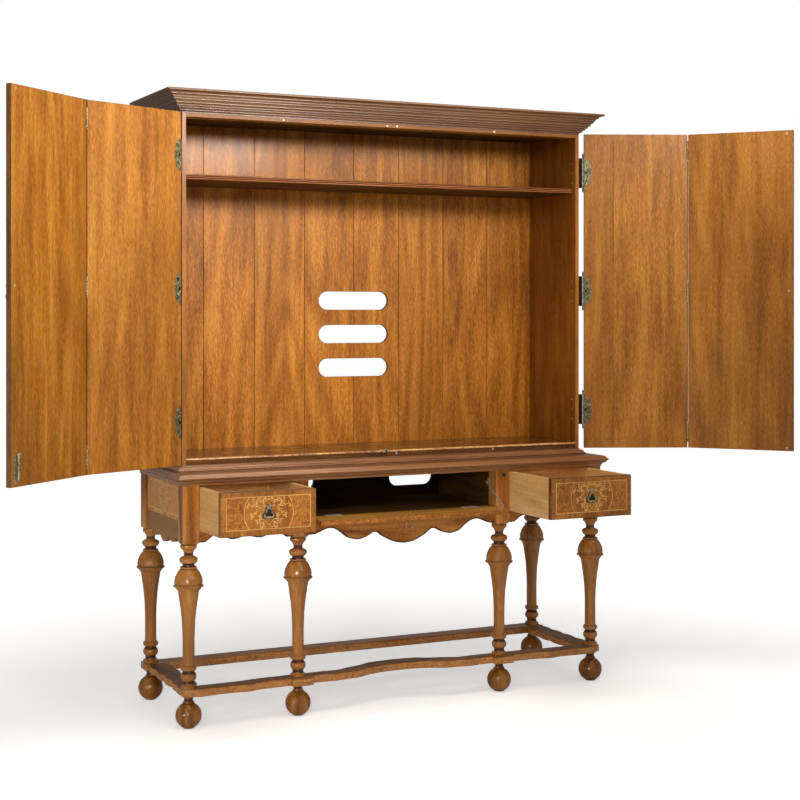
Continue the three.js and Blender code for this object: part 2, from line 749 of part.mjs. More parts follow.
function caseFloorGeometry() {
  const rounding = CASE.floorRounding;
  const floor = new THREE.Shape();
  floor.moveTo(0, BASE_TOP);
  floor.lineTo(BACK_PANEL_FRONT, BASE_TOP);
  floor.lineTo(BACK_PANEL_FRONT, CASE_FLOOR);
  const steps = 4;
  for (let step = 0; step <= steps; step += 1) {
    const angle = Math.PI / 2 * (1 + step / steps);
    floor.lineTo(
      rounding + rounding * Math.cos(angle),
      CASE_FLOOR - rounding + rounding * Math.sin(angle),
    );
  }
  floor.closePath();
  const board = crosswiseBoard(floor, -CASE_INSIDE, CASE_INSIDE);
  // The keep of the door bolt: a notch in the floor's front edge
  const boltX = -DOOR_PLAY / 2 - BOLT.fromEdge;
  const boltY = BOLT.handleRadius + SEATED - DOOR_STANDOFF;
  const keepBottom = LEAF_BOTTOM + BOLT.fromLeafEnd - BOLT.throw - DOOR_STANDOFF;
  const keep = rod(boltX, boltY, keepBottom, CASE_FLOOR + OVERRUN, BOLT.handleRadius, 12);
  return cut(board, keep);
}

function corniceGeometry() {
  const profile = profileFrom(CORNICE_SHARES, CORNICE.overhang, CASE_TOP, CORNICE.height);
  const slab = mouldedSlab(profile, HALF_CASE, 0, CASE.depth);
  const rail = block(
    [-CASE_INSIDE, 0, CASE_TOP - CORNICE.railHeight],
    [CASE_INSIDE, CORNICE.railDepth, CASE_TOP + OVERRUN],
  );
  const top = CASE_TOP + CORNICE.height;
  const recess = block(
    [-HALF_CASE + CORNICE.recessMargin, CORNICE.recessMargin, top - CORNICE.recess],
    [HALF_CASE - CORNICE.recessMargin, CASE.depth - CORNICE.recessMargin, top + OVERRUN],
  );
  return cut(joined(slab, rail), recess);
}

function backPanelGeometry() {
  const shape = rectangle(-CASE_INSIDE, BASE_TOP, CASE_INSIDE, CASE_TOP);
  for (let row = 0; row < 3; row += 1) {
    const low = CASE_FLOOR + CABLE_SLOT.lowestFromFloor + row * CABLE_SLOT.pitch;
    shape.holes.push(slotPath(0, low, CABLE_SLOT.length, CABLE_SLOT.height));
  }
  return uprightBoard(shape, BACK_PANEL.thickness, BACK_PANEL_FRONT);
}

// The shelf, with rounded reeds along its front edge.
function shelfGeometry() {
  const low = CASE_TOP - SHELF.belowTop;
  const reed = SHELF.thickness / SHELF.reeds;
  const shape = new THREE.Shape();
  shape.moveTo(BACK_PANEL_FRONT, low);
  shape.lineTo(BACK_PANEL_FRONT, low + SHELF.thickness);
  const steps = 4;
  for (let index = SHELF.reeds - 1; index >= 0; index -= 1) {
    for (let step = 0; step <= steps; step += 1) {
      const swelling = Math.sin(Math.PI * step / steps);
      const height = low + reed * (index + 1 - step / steps);
      shape.lineTo(SHELF.fromFront + SHELF.reedDepth * (1 - swelling), height);
    }
  }
  shape.closePath();
  return crosswiseBoard(shape, -CASE_INSIDE + SEATED, CASE_INSIDE - SEATED);
}

function addCase() {
  for (const { name, sign } of SIDES) {
    piece(`case_side_${name}`, block(
      [sign * CASE_INSIDE, 0, BASE_TOP],
      [sign * HALF_CASE, CASE.depth, CASE_TOP],
    ), "walnut");
  }
  piece("case_floor", caseFloorGeometry(), "panel");
  piece("cornice", corniceGeometry(), "moulding");
  piece("back_panel", backPanelGeometry(), "panel");
  piece("shelf", shelfGeometry(), "panel");
}

// Doors and their hinges

const PIN_X = HALF_CASE + DOOR.pinOutside;
const PIN_Y = -DOOR_STANDOFF - LEAF.thickness / 2;
const CASE_HINGE_HEIGHTS = {
  top: LEAF_TOP - CASE_HINGE.endInset,
  middle: (LEAF_TOP + LEAF_BOTTOM) / 2,
  bottom: LEAF_BOTTOM + CASE_HINGE.endInset,
};
const FOLD_HINGE_HEIGHTS = {
  top: LEAF_TOP - FOLD_HINGE.topInset,
  middle: (LEAF_TOP + LEAF_BOTTOM) / 2,
  bottom: LEAF_BOTTOM + FOLD_HINGE.bottomInset,
};

// The case half of a hinge: a half-oval plate on the case's side, an arm round the front
// corner, and the barrel with a turned finial at each end.
const FINIAL_SHARES = [[0.55, 0.2], [0.95, 0.55], [0.4, 0.95]];

function barrelProfile(radius, halfHeight, finial) {
  const up = FINIAL_SHARES.map(([radiusShare, heightShare]) => new THREE.Vector2(
    radiusShare * radius,
    halfHeight + heightShare * finial,
  ));
  const down = up.toReversed().map(({ x, y }) => new THREE.Vector2(x, -y));
  return [
    new THREE.Vector2(0, -halfHeight - finial), ...down,
    new THREE.Vector2(radius, -halfHeight), new THREE.Vector2(radius, halfHeight),
    ...up, new THREE.Vector2(0, halfHeight + finial),
  ];
}

function caseHingeGeometry(sign, height) {
  const half = CASE_HINGE.height / 2;
  const oval = new THREE.Shape();
  const steps = 8;
  for (let step = 0; step <= steps; step += 1) {
    const angle = Math.PI * (step / steps - 1 / 2);
    oval.lineTo(CASE_HINGE.plateReach * Math.cos(angle), height + half * Math.sin(angle));
  }
  oval.closePath();
  const plateX = HALF_CASE + CASE_HINGE.plateThickness;
  const plate = crosswiseBoard(
    oval, sign > 0 ? HALF_CASE : -plateX, sign > 0 ? plateX : -HALF_CASE,
  );
  const neckHalf = CASE_HINGE.neckWidth / 2;
  const arm = block(
    [sign * HALF_CASE, 0, height - half],
    [sign * (PIN_X + neckHalf), CASE_HINGE.armThickness, height + half],
  );
  const neck = block(
    [sign * (PIN_X - neckHalf), PIN_Y, height - half],
    [sign * (PIN_X + neckHalf), CASE_HINGE.armThickness, height + half],
  );
  const barrel = turned(barrelProfile(CASE_HINGE.barrelRadius, half, CASE_HINGE.finial), 8);
  barrel.translate(sign * PIN_X, PIN_Y, height);
  return joined(plate, arm, neck, barrel);
}

// A leaf, notched along its fold edge for the hinge knuckles.
function leafGeometry(low, high, front, knuckleX, knuckleY) {
  const board = block(
    [low, front, LEAF_BOTTOM],
    [high, front + LEAF.thickness, LEAF_TOP],
  );
  const half = FOLD_HINGE.length / 2 + FOLD_HINGE.barrelRadius + KNUCKLE_PLAY;
  const notches = Object.values(FOLD_HINGE_HEIGHTS).map((height) => rod(
    knuckleX, knuckleY, height - half, height + half,
    FOLD_HINGE.barrelRadius + KNUCKLE_PLAY, 12,
  ));
  return cut(board, ...notches);
}

function foldHingeGeometry(height) {
  const dome = FOLD_HINGE.barrelRadius;
  const half = FOLD_HINGE.length / 2;
  const profile = [
    new THREE.Vector2(0, -half - dome), new THREE.Vector2(dome / 2, -half - dome),
    new THREE.Vector2(dome, -half), new THREE.Vector2(dome, half),
    new THREE.Vector2(dome / 2, half + dome), new THREE.Vector2(0, half + dome),
  ];
  return turned(profile, 8).translate(0, 0, height);
}

// A drop pull on a door: a turned pear that hangs from its top.
const DROP_SHARES = [[0.35, -0.98], [0.8, -0.9], [1, -0.72], [0.7, -0.42], [0.4, -0.15], [0.4, 0]];

function doorPullGeometry() {
  const profile = DROP_SHARES.map(([radiusShare, heightShare]) => new THREE.Vector2(
    radiusShare * DOOR_PULL.radius,
    heightShare * DOOR_PULL.length,
  ));
  return turned([
    new THREE.Vector2(0, -DOOR_PULL.length), ...profile, new THREE.Vector2(0, 0),
  ], 10);
}

// The sliding rod of the door bolt, with a trumpet-shaped handle on top.
const BOLT_HANDLE_SHARES = [[0.5, 0], [0.4, 0.3], [0.55, 0.6], [1, 0.85], [1, 0.95], [0.8, 1]];

function boltGeometry() {
  const handle = BOLT_HANDLE_SHARES.map(([radiusShare, heightShare]) => new THREE.Vector2(
    radiusShare * BOLT.handleRadius,
    BOLT.length + heightShare * BOLT.handleHeight,
  ));
  return turned([
    new THREE.Vector2(0, 0), new THREE.Vector2(BOLT.radius, 0), ...handle,
    new THREE.Vector2(0, BOLT.length + BOLT.handleHeight),
  ], 10);
}

function addDoor({ name, sign }) {
  const swing = new THREE.Group();
  swing.position.set(sign * PIN_X, PIN_Y, 0);
  swing.rotation.z = sign * DOOR.openAngle;
  armoire.add(swing);
  const halfLeaf = LEAF.thickness / 2;
  const innerEdge = DOOR.edgeFromPin;
  const foldX = -sign * (innerEdge + LEAF.width + DOOR_PLAY / 2);
  piece(`${name}_door_inner`, leafGeometry(
    -sign * innerEdge, -sign * (innerEdge + LEAF.width), -halfLeaf, foldX, halfLeaf,
  ), "walnut", swing);
  const fold = new THREE.Group();
  fold.position.set(foldX, halfLeaf, 0);
  fold.rotation.z = -sign * (name === "left" ? DOOR.leftFold : DOOR.rightFold);
  swing.add(fold);
  const near = -sign * DOOR_PLAY / 2;
  const free = near - sign * LEAF.width;
  piece(`${name}_door_outer`, leafGeometry(near, free, -LEAF.thickness, 0, 0), "walnut", fold);
  for (const [place, height] of Object.entries(FOLD_HINGE_HEIGHTS)) {
    piece(`${name}_fold_hinge_${place}`, foldHingeGeometry(height), "brass", fold);
  }
  const pull = piece(`${name}_door_pull`, doorPullGeometry(), "brass", fold);
  const standoff = LEAF.thickness + DOOR_PULL.radius + SEATED;
  pull.position.set(free + sign * DOOR_PULL.fromEdge, -standoff, DOOR_PULL.fromFloor);
  if (name === "left") {
    const bolt = piece("door_bolt", boltGeometry(), "brass", fold);
    const boltX = free + sign * BOLT.fromEdge;
    bolt.position.set(boltX, BOLT.handleRadius + SEATED, LEAF_BOTTOM + BOLT.fromLeafEnd);
  }
  for (const [place, height] of Object.entries(CASE_HINGE_HEIGHTS)) {
    piece(`${name}_case_hinge_${place}`, caseHingeGeometry(sign, height), "brass");
  }
}

addStand();
addDrawers();
addFlap();
addCase();
SIDES.forEach(addDoor);
armoire.position.set(-ORIGIN.x, -ORIGIN.y, 0);

export default armoire;
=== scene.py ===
import json
import math

import bmesh
import bpy
from mathutils import Matrix, Vector
from mathutils.geometry import tessellate_polygon


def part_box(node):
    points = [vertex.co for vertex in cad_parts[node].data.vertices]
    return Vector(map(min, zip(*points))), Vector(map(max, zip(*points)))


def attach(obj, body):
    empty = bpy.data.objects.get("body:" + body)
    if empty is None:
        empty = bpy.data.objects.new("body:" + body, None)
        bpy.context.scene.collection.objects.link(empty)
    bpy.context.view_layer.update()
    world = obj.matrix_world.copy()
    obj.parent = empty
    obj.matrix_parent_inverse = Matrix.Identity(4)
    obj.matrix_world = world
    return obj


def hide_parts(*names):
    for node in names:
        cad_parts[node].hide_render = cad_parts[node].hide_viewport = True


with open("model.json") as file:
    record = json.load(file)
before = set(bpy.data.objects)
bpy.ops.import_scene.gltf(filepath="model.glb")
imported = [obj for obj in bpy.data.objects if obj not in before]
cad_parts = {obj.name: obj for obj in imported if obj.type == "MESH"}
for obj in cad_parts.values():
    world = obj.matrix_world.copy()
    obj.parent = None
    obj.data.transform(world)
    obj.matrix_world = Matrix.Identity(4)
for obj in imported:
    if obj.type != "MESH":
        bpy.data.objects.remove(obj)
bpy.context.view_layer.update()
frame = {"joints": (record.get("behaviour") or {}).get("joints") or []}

# Sizes are in millimetres, from the middle of the case's front at the floor, unless they say so.
MM = 0.001
SIDES = (("left", -1), ("right", 1))
HEIGHTS = ("top", "middle", "bottom")
LEG_NAMES = ("front_left", "front_mid_left", "front_mid_right", "front_right", "back_left", "back_right")
CASE_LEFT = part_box("case_side_left")
CASE_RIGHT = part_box("case_side_right")
HOME = Matrix.Translation(((CASE_LEFT[0].x + CASE_RIGHT[1].x) / 2, CASE_LEFT[0].y, 0))
HALF_POST = 29


class Span:
    """The box of a node at rest."""

    def __init__(self, node):
        low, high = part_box(node)
        self.x0, self.y0, self.z0 = (low - HOME.translation) / MM
        self.x1, self.y1, self.z1 = (high - HOME.translation) / MM
        self.x = (self.x0 + self.x1) / 2
        self.y = (self.y0 + self.y1) / 2
        self.z = (self.z0 + self.z1) / 2


def post(name):
    """The box of the square part of a leg."""
    at = Span("leg_" + name)
    at.x0, at.x1 = at.x - HALF_POST, at.x + HALF_POST
    at.y0, at.y1 = at.y - HALF_POST, at.y + HALF_POST
    return at


# Wood and metal


def colour(red, green, blue):
    """A colour written as it looks on screen, from 0 to 255, as linear light."""
    shares = [value / 255 for value in (red, green, blue)]
    return (*(s / 12.92 if s <= 0.04045 else ((s + 0.055) / 1.055) ** 2.4 for s in shares), 1)


class Graph:
    """The nodes of one material."""

    def __init__(self, name):
        self.material = bpy.data.materials.new(name)
        self.material.use_nodes = True
        self.nodes = self.material.node_tree.nodes
        self.links = self.material.node_tree.links
        self.shader = self.nodes["Principled BSDF"]

    def node(self, kind, inputs=(), **settings):
        item = self.nodes.new("ShaderNode" + kind)
        for name, value in settings.items():
            setattr(item, name, value)
        self.feed(item, inputs)
        return item

    def feed(self, item, inputs):
        for name, value in dict(inputs).items():
            if isinstance(value, bpy.types.NodeSocket):
                self.links.new(value, item.inputs[name])
            else:
                item.inputs[name].default_value = value

    def scaled(self, vector, factors):
        return self.node("VectorMath", {0: vector, 1: factors}, operation="MULTIPLY").outputs["Vector"]

    def noise(self, vector, detail, roughness=0.55, distortion=0.0, scale=1.0):
        item = self.node("TexNoise", {
            "Vector": vector, "Scale": scale, "Detail": detail,
            "Roughness": roughness, "Distortion": distortion,
        })
        return item.outputs["Fac"]

    def math(self, operation, first, second=0.0):
        return self.node("Math", {0: first, 1: second}, operation=operation).outputs[0]

    def stain(self, factor, shade, stain):
        """The shade multiplied by the stain."""
        inputs = {"Fac": factor, "Color1": shade, "Color2": stain}
        return self.node("MixRGB", inputs, blend_type="MULTIPLY").outputs["Color"]

    def ramp(self, factor, stops):
        item = self.node("ValToRGB", {"Fac": factor})
        elements = item.color_ramp.elements
        while len(elements) < len(stops):
            elements.new(0.5)
        for element, (position, shade) in zip(elements, stops):
            element.position = position
            element.color = shade
        return item.outputs["Color"]

    def range(self, value, low, high, to_low=0.0, to_high=1.0):
        item = self.node("MapRange", {
            "Value": value, "From Min": low, "From Max": high, "To Min": to_low, "To Max": to_high,
        })
        return item.outputs["Result"]

    def bump(self, height, strength, distance):
        inputs = {"Height": height, "Strength": strength, "Distance": distance}
        return self.node("Bump", inputs).outputs["Normal"]


# Repeats of each noise in a metre, along the grain and across it
FIGURE = (0.5, 3.2, 3.2)
CLOUD = (1.6, 5.0, 5.0)
SLOW = (1.1, 19)
STREAK = (8, 110)
DASH = (60, 380)
FLECK = (85, 520, 520)
BLOTCH = 85.0
CLOUD_STOPS = ((0.34, (0.82, 0.79, 0.74, 1)), (0.64, (1.08, 1.08, 1.08, 1)))
PORE_STAIN = (0.38, 0.3, 0.22, 1)
# Stain of the glaze and painted shade that darken hollows, grooves and board edges
GLAZE_AND_SHADE_STAIN = (0.16, 0.1, 0.07, 1)


def wood(name, tones, figure=0.05, broad=0.3, medium=0.3, fine=0.35, mottle=0.0, rough=0.38, coat=0.1,
         pores=0.3, reach=0.14, shine=0.4, length=1.0):
    """Polished wood. The figure is the contour lines of a long soft noise, three sizes of streaks
    run along the grain, and mottle is the blotchy pattern of burr. The length is how much longer
    than usual the streaks are. The grain attribute says where in the wood each vertex lies."""
    graph = Graph(name)
    place = graph.node("Attribute", attribute_name="grain").outputs["Vector"]
    field = graph.noise(graph.scaled(place, FIGURE), 2.0, 0.45, 0.25)
    waves = graph.math("SINE", graph.math("MULTIPLY", field, 70.0))
    slow, streak, dash = (
        graph.noise(graph.scaled(place, (along / length, across, across)), 3.0, roughness)
        for (along, across), roughness in ((SLOW, 0.6), (STREAK, 0.6), (DASH, 0.65))
    )
    fleck = graph.noise(graph.scaled(place, FLECK), 2.0, 0.6)
    blotch = graph.noise(place, 5.0, 0.68, 1.2, BLOTCH)
    cloud = graph.noise(graph.scaled(place, CLOUD), 2.0)
    total = graph.range(waves, -1.0, 1.0, 0.5 - figure / 2, 0.5 + figure / 2)
    for part, share in ((slow, broad), (streak, medium), (dash, fine), (blotch, mottle)):
        total = graph.math("ADD", total, graph.math("MULTIPLY", graph.math("SUBTRACT", part, 0.5), share))
    dark, middle, light = tones
    shade = graph.ramp(total, ((0.5 - reach, dark), (0.5, middle), (0.5 + reach, light)))
    shade = graph.stain(1.0, shade, graph.ramp(cloud, CLOUD_STOPS))
    pore = graph.range(fleck, 0.54, 0.7, 0.0, pores)
    shade = graph.stain(pore, shade, PORE_STAIN)
    # Painted shade with glaze: a per-vertex attribute darkens hollows, grooves and board edges
    glaze_and_shade = graph.node("Attribute", attribute_name="glaze_and_shade").outputs["Fac"]
    graph.feed(graph.shader, {
        "Base Color": graph.stain(glaze_and_shade, shade, GLAZE_AND_SHADE_STAIN),
        "Roughness": graph.range(streak, 0.3, 0.7, rough - 0.04, rough + 0.08),
        "Normal": graph.bump(graph.math("SUBTRACT", graph.math("MULTIPLY", dash, 0.4), pore), 0.15, 0.0003),
        "Specular IOR Level": shine,
        "Coat Weight": coat,
        "Coat Roughness": 0.14,
    })
    return graph.material


def metal(name, tones, metallic=0.85, rough=0.38):
    """Cast metal with a patina and brighter worn places, laid out by noise."""
    graph = Graph(name)
    place = graph.node("Attribute", attribute_name="grain").outputs["Vector"]
    worn = graph.noise(place, 5.0, 0.65, 0.8, 130.0)
    fine = graph.noise(place, 3.0, 0.6, 0.0, 700.0)
    dull, bright = tones
    graph.feed(graph.shader, {
        "Base Color": graph.ramp(worn, ((0.36, dull), (0.62, bright))),
        "Metallic": metallic,
        "Roughness": graph.range(worn, 0.3, 0.7, rough + 0.16, rough - 0.06),
        "Normal": graph.bump(graph.math("ADD", worn, graph.math("MULTIPLY", fine, 0.4)), 0.5, 0.0006),
    })
    return graph.material


# The dark, middle and light tone of each finish on screen, and what differs from the usual wood
WOODS = {
    "leaf": ((126, 73, 15), (170, 105, 27), (202, 138, 54), {
        "broad": 0.34, "medium": 0.2, "fine": 0.5, "rough": 0.45, "shine": 0.32, "reach": 0.12,
        "pores": 0.34,
    }),
    "walnut": ((104, 58, 16), (166, 102, 36), (204, 142, 64), {
        "figure": 0.12, "broad": 0.5, "rough": 0.28, "coat": 0.3,
    }),
    "turned": ((120, 68, 19), (174, 111, 42), (206, 146, 72), {
        "figure": 0.03, "broad": 0.3, "medium": 0.15, "fine": 0.2, "rough": 0.22, "coat": 0.5,
        "pores": 0.2, "shine": 0.3,
    }),
    "ball": ((92, 50, 10), (148, 90, 28), (184, 124, 52), {
        "figure": 0.1, "broad": 0.4, "medium": 0.2, "fine": 0.2, "rough": 0.18, "coat": 0.5,
        "pores": 0.2, "shine": 0.25,
    }),
    "figured": ((116, 64, 16), (166, 100, 36), (204, 142, 66), {
        "figure": 0.34, "broad": 0.5, "rough": 0.34, "reach": 0.17,
    }),
    "tread": ((84, 46, 16), (122, 76, 34), (152, 104, 54), {
        "figure": 0.1, "rough": 0.4, "coat": 0.0, "shine": 0.25,
    }),
    "rim": ((134, 80, 30), (184, 120, 56), (214, 154, 86), {
        "figure": 0.0, "broad": 0.2, "fine": 0.2, "mottle": 0.6, "rough": 0.3, "coat": 0.2,
    }),
    "apron": ((112, 60, 16), (172, 104, 36), (208, 142, 64), {
        "figure": 0.2, "broad": 0.7, "mottle": 0.4, "reach": 0.15, "shine": 0.3,
    }),
    "edge": ((86, 54, 24), (126, 84, 44), (162, 114, 66), {"broad": 0.6}),
    "moulding": ((84, 54, 30), (116, 78, 48), (142, 102, 68), {
        "figure": 0.0, "broad": 0.2, "medium": 0.15, "fine": 0.15, "rough": 0.34, "pores": 0.1,
        "length": 8,
    }),
    "waist": ((104, 66, 36), (149, 100, 60), (186, 136, 90), {
        "figure": 0.0, "broad": 0.2, "medium": 0.2, "fine": 0.2, "rough": 0.26, "coat": 0.25,
        "pores": 0.1, "shine": 0.3, "length": 5,
    }),
    "rail": ((136, 78, 20), (170, 106, 38), (198, 134, 60), {"shine": 0.2}),
    "lintel": ((112, 64, 16), (150, 92, 30), (180, 118, 48), {"coat": 0.0, "shine": 0.2, "length": 3}),
    "panel": ((134, 76, 12), (188, 114, 28), (222, 150, 56), {
        "figure": 0.08, "medium": 0.24, "fine": 0.56, "rough": 0.45, "pores": 0.42, "shine": 0.28,
        "reach": 0.13,
    }),
    # Painted shade: darker, duller tones for the undersides of the case top and of the shelf
    "ceiling": ((60, 40, 16), (88, 60, 26), (112, 80, 38), {"rough": 0.6, "coat": 0.0, "shine": 0.15}),
    "inside": ((92, 50, 8), (144, 86, 22), (174, 112, 42), {"shine": 0.2}),
    "lid": ((122, 82, 30), (158, 110, 46), (188, 138, 66), {"rough": 0.85, "coat": 0.0, "shine": 0.05}),
    "polished": ((66, 36, 8), (97, 57, 15), (124, 77, 26), {"rough": 0.22, "coat": 0.4, "shine": 0.3}),
    # Painted highlight: the bright flecked line along the case floor's rounded front edge
    "nosing": ((120, 70, 30), (206, 142, 78), (252, 208, 140), {
        "figure": 0.0, "broad": 0.6, "mottle": 0.9, "rough": 0.3,
    }),
    "reed": ((124, 68, 32), (166, 102, 54), (198, 134, 80), {"medium": 0.15, "fine": 0.2, "rough": 0.34}),
    "burr": ((140, 79, 23), (186, 113, 42), (218, 149, 70), {
        "figure": 0.0, "broad": 0.15, "medium": 0.1, "fine": 0.3, "mottle": 0.95, "rough": 0.34,
        "coat": 0.2, "shine": 0.3,
    }),
    "crossband": ((128, 74, 25), (170, 104, 40), (200, 135, 60), {
        "mottle": 0.35, "rough": 0.34, "coat": 0.2, "shine": 0.3,
    }),
    "ground": ((138, 80, 24), (178, 108, 40), (204, 138, 60), {
        "figure": 0.0, "mottle": 0.6, "rough": 0.34, "coat": 0.2, "shine": 0.3,
    }),
    "flank": ((158, 98, 42), (202, 136, 68), (228, 168, 98), {
        "figure": 0.0, "broad": 0.1, "medium": 0.1, "mottle": 0.6, "rough": 0.4, "shine": 0.25,
    }),
    "flank_band": ((166, 104, 50), (210, 146, 78), (236, 178, 108), {
        "mottle": 0.2, "rough": 0.4, "shine": 0.25,
    }),
    "stringing": ((214, 156, 80), (238, 188, 108), (248, 208, 134), {}),
    "seaweed": ((214, 156, 80), (240, 190, 108), (250, 212, 136), {}),
    "oak": ((210, 154, 86), (238, 188, 122), (250, 212, 150), {
        "figure": 0.08, "fine": 0.5, "rough": 0.5, "coat": 0.0,
    }),
    # Painted shade: darker tones for the boards deep inside the stand
    "gloom": ((58, 38, 14), (84, 56, 22), (108, 74, 34), {"rough": 0.85, "coat": 0.0, "shine": 0.05}),
    "dark": ((24, 14, 6), (36, 22, 10), (54, 34, 16), {"coat": 0.0, "shine": 0.15}),
    "drab": ((128, 90, 52), (154, 112, 68), (174, 130, 82), {"rough": 0.5, "coat": 0.05}),
}
METALS = {
    "brass": ((92, 84, 56), (206, 196, 158), {"metallic": 0.6}),
    "bronze": ((30, 25, 15), (84, 72, 48), {"rough": 0.45}),
    "plate": ((52, 48, 29), (152, 144, 102), {"metallic": 0.7}),
    "steel": ((140, 134, 116), (232, 226, 208), {"metallic": 0.5, "rough": 0.3}),
    "silver": ((70, 64, 48), (226, 220, 200), {"metallic": 0.7, "rough": 0.28}),
}
MATERIALS = {
    name: make(name, [colour(*tone) for tone in tones], **traits)
    for make, finishes in ((wood, WOODS), (metal, METALS)) for name, (*tones, traits) in finishes.items()
}

# Solids

BOARD_CREASE = math.radians(12)
ROUND_CREASE = math.radians(34)
LOG_STEPS = ((0.731, 7), (0.417, 5), (0.293, 3))


def upright(u, v, w):
    """Outline in X and Z, thickness in Y."""
    return (u, w, v)


def crosswise(u, v, w):
    """Outline in Y and Z, thickness in X."""
    return (w, u, v)


def level(u, v, w):
    """Outline in X and Y, thickness in Z."""
    return (u, v, w)


def tipped(x, y, z, degrees, axis="X"):
    """A place, turned about one axis."""
    return Matrix.Translation((x, y, z)) @ Matrix.Rotation(math.radians(degrees), 4, axis)


class Work:
    """Closed solids, gathered into one mesh. Each vertex keeps its place in the wood that it was
    cut from, with the first coordinate along the grain."""

    boards = 0

    def __init__(self):
        self.points = []
        self.faces = []
        self.grain = []
        self.glaze_and_shade = []
        self.finishes = []
        self.face_finish = []
        self.face_crease = []

    def number(self, finish):
        if finish not in self.finishes:
            self.finishes.append(finish)
        return self.finishes.index(finish)

    def add(self, points, faces, finish, along=2, place=None, glaze_and_shade=None, crease=BOARD_CREASE):
        start = len(self.points)
        Work.boards += 1
        log = Vector([Work.boards * step % spread for step, spread in LOG_STEPS])
        for point in map(Vector, points):
            turned = Vector((point[along], point[(along + 1) % 3], point[(along + 2) % 3]))
            self.grain.append(turned * MM + log)
            self.points.append((place @ point if place else point) * MM)
        self.glaze_and_shade.extend(glaze_and_shade or [0.0] * len(points))
        self.faces.extend([start + index for index in face] for face in faces)
        self.face_finish.extend([self.number(finish)] * len(faces))
        self.face_crease.extend([crease] * len(faces))

    def paint(self, start, end, finish):
        """Another finish on a run of faces."""
        self.face_finish[start:end] = [self.number(finish)] * (end - start)

    def close(self, name, body, slot, replaces=(), place=HOME):
        mesh = bpy.data.meshes.new(name)
        mesh.from_pydata([place @ point for point in self.points], [], self.faces)
        for finish in self.finishes:
            mesh.materials.append(MATERIALS[finish])
        mesh.polygons.foreach_set("material_index", self.face_finish)
        shell = bmesh.new()
        shell.from_mesh(mesh)
        bmesh.ops.recalc_face_normals(shell, faces=shell.faces)
        for edge in shell.edges:
            limit = min(self.face_crease[face.index] for face in edge.link_faces)
            edge.smooth = edge.calc_face_angle(0) < limit
        for face in shell.faces:
            face.smooth = True
        shell.to_mesh(mesh)
        shell.free()
        grain = mesh.attributes.new("grain", "FLOAT_VECTOR", "POINT")
        grain.data.foreach_set("vector", [value for point in self.grain for value in point])
        # How much glaze and painted shade darken each vertex
        mesh.attributes.new("glaze_and_shade", "FLOAT", "POINT").data.foreach_set("value", self.glaze_and_shade)
        piece = bpy.data.objects.new(name, mesh)
        bpy.context.scene.collection.objects.link(piece)
        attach(piece, body)
        if replaces:
            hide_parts(*replaces)


def oval(middle, across, up, sides):
    """Points on a closed oval."""
    turns = [math.tau * step / sides for step in range(sides)]
    return [(middle[0] + across * math.cos(a), middle[1] + up * math.sin(a)) for a in turns]


def arc(middle, radius, start, end, steps):
    """Points on a circle, between two angles in degrees."""
    turns = [math.radians(start + (end - start) * step / steps) for step in range(steps + 1)]
    return [(middle[0] + radius * math.cos(a), middle[1] + radius * math.sin(a)) for a in turns]


def lifted(points, base):
    """A profile of height and radius, raised to a base."""
    return [(base + height, radius) for height, radius in points]


def spline(points, steps=6):
    """Points on a smooth curve through the given ones."""
    last = len(points) - 1
    path = [Vector(points[0])]
    for index in range(last):
        a, b, c, d = (Vector(points[min(max(index + shift, 0), last)]) for shift in (-1, 0, 1, 2))
        start = (c - a) / 2
        end = (d - b) / 2
        for step in range(1, steps + 1):
            t = step / steps
            bend = (2 * b - 2 * c + start + end) * t ** 3 + (3 * c - 3 * b - 2 * start - end) * t ** 2
            path.append(bend + start * t + b)
    return [tuple(point) for point in path]


def runs(groups, steps=6):
    """Smooth runs that meet at corners."""
    path = []
    for group in groups:
        for point in spline(group, steps):
            if not path or (Vector(point) - Vector(path[-1])).length > 0.05:
                path.append(point)
    return path


def belt(first, second, count):
    """Faces between two rings, from the number of the first point of each."""
    steps = [(index, (index + 1) % count) for index in range(count)]
    return [[first + here, first + ahead, second + ahead, second + here] for here, ahead in steps]


def box(work, low, high, finish, along=2, ease=0.8):
    """A board between two corners, with its arrises eased."""
    board = bmesh.new()
    bmesh.ops.create_cube(board, size=1)
    low = Vector(low)
    high = Vector(high)
    size = Vector([abs(b - a) for a, b in zip(low, high)])
    for vertex in board.verts:
        vertex.co = (low + high) / 2 + vertex.co * size
    offset = min(ease, min(size) / 3)
    bmesh.ops.bevel(board, geom=board.edges[:], offset=offset, segments=2, profile=0.5, affect="EDGES")
    board.verts.index_update()
    points = [vertex.co.copy() for vertex in board.verts]
    faces = [[vertex.index for vertex in face.verts] for face in board.faces]
    board.free()
    work.add(points, faces, finish, along)


def wound(loop, hole=False):
    """The loop, turned round if need be, so that its material lies on its left."""
    area = sum(a[0] * b[1] - b[0] * a[1] for a, b in zip(loop, loop[1:] + loop[:1]))
    return loop[::-1] if (area < 0) != hole else loop


def inset(loop, distance):
    """The loop moved to the left of its own direction."""
    moved = []
    for index, point in enumerate(loop):
        here = Vector(point)
        before = (here - Vector(loop[index - 1])).normalized()
        after = (Vector(loop[(index + 1) % len(loop)]) - here).normalized()
        normal = Vector((-before.y - after.y, before.x + after.x))
        moved.append(tuple(here + normal * distance / max(normal.length_squared / 2, 0.5)))
    return moved


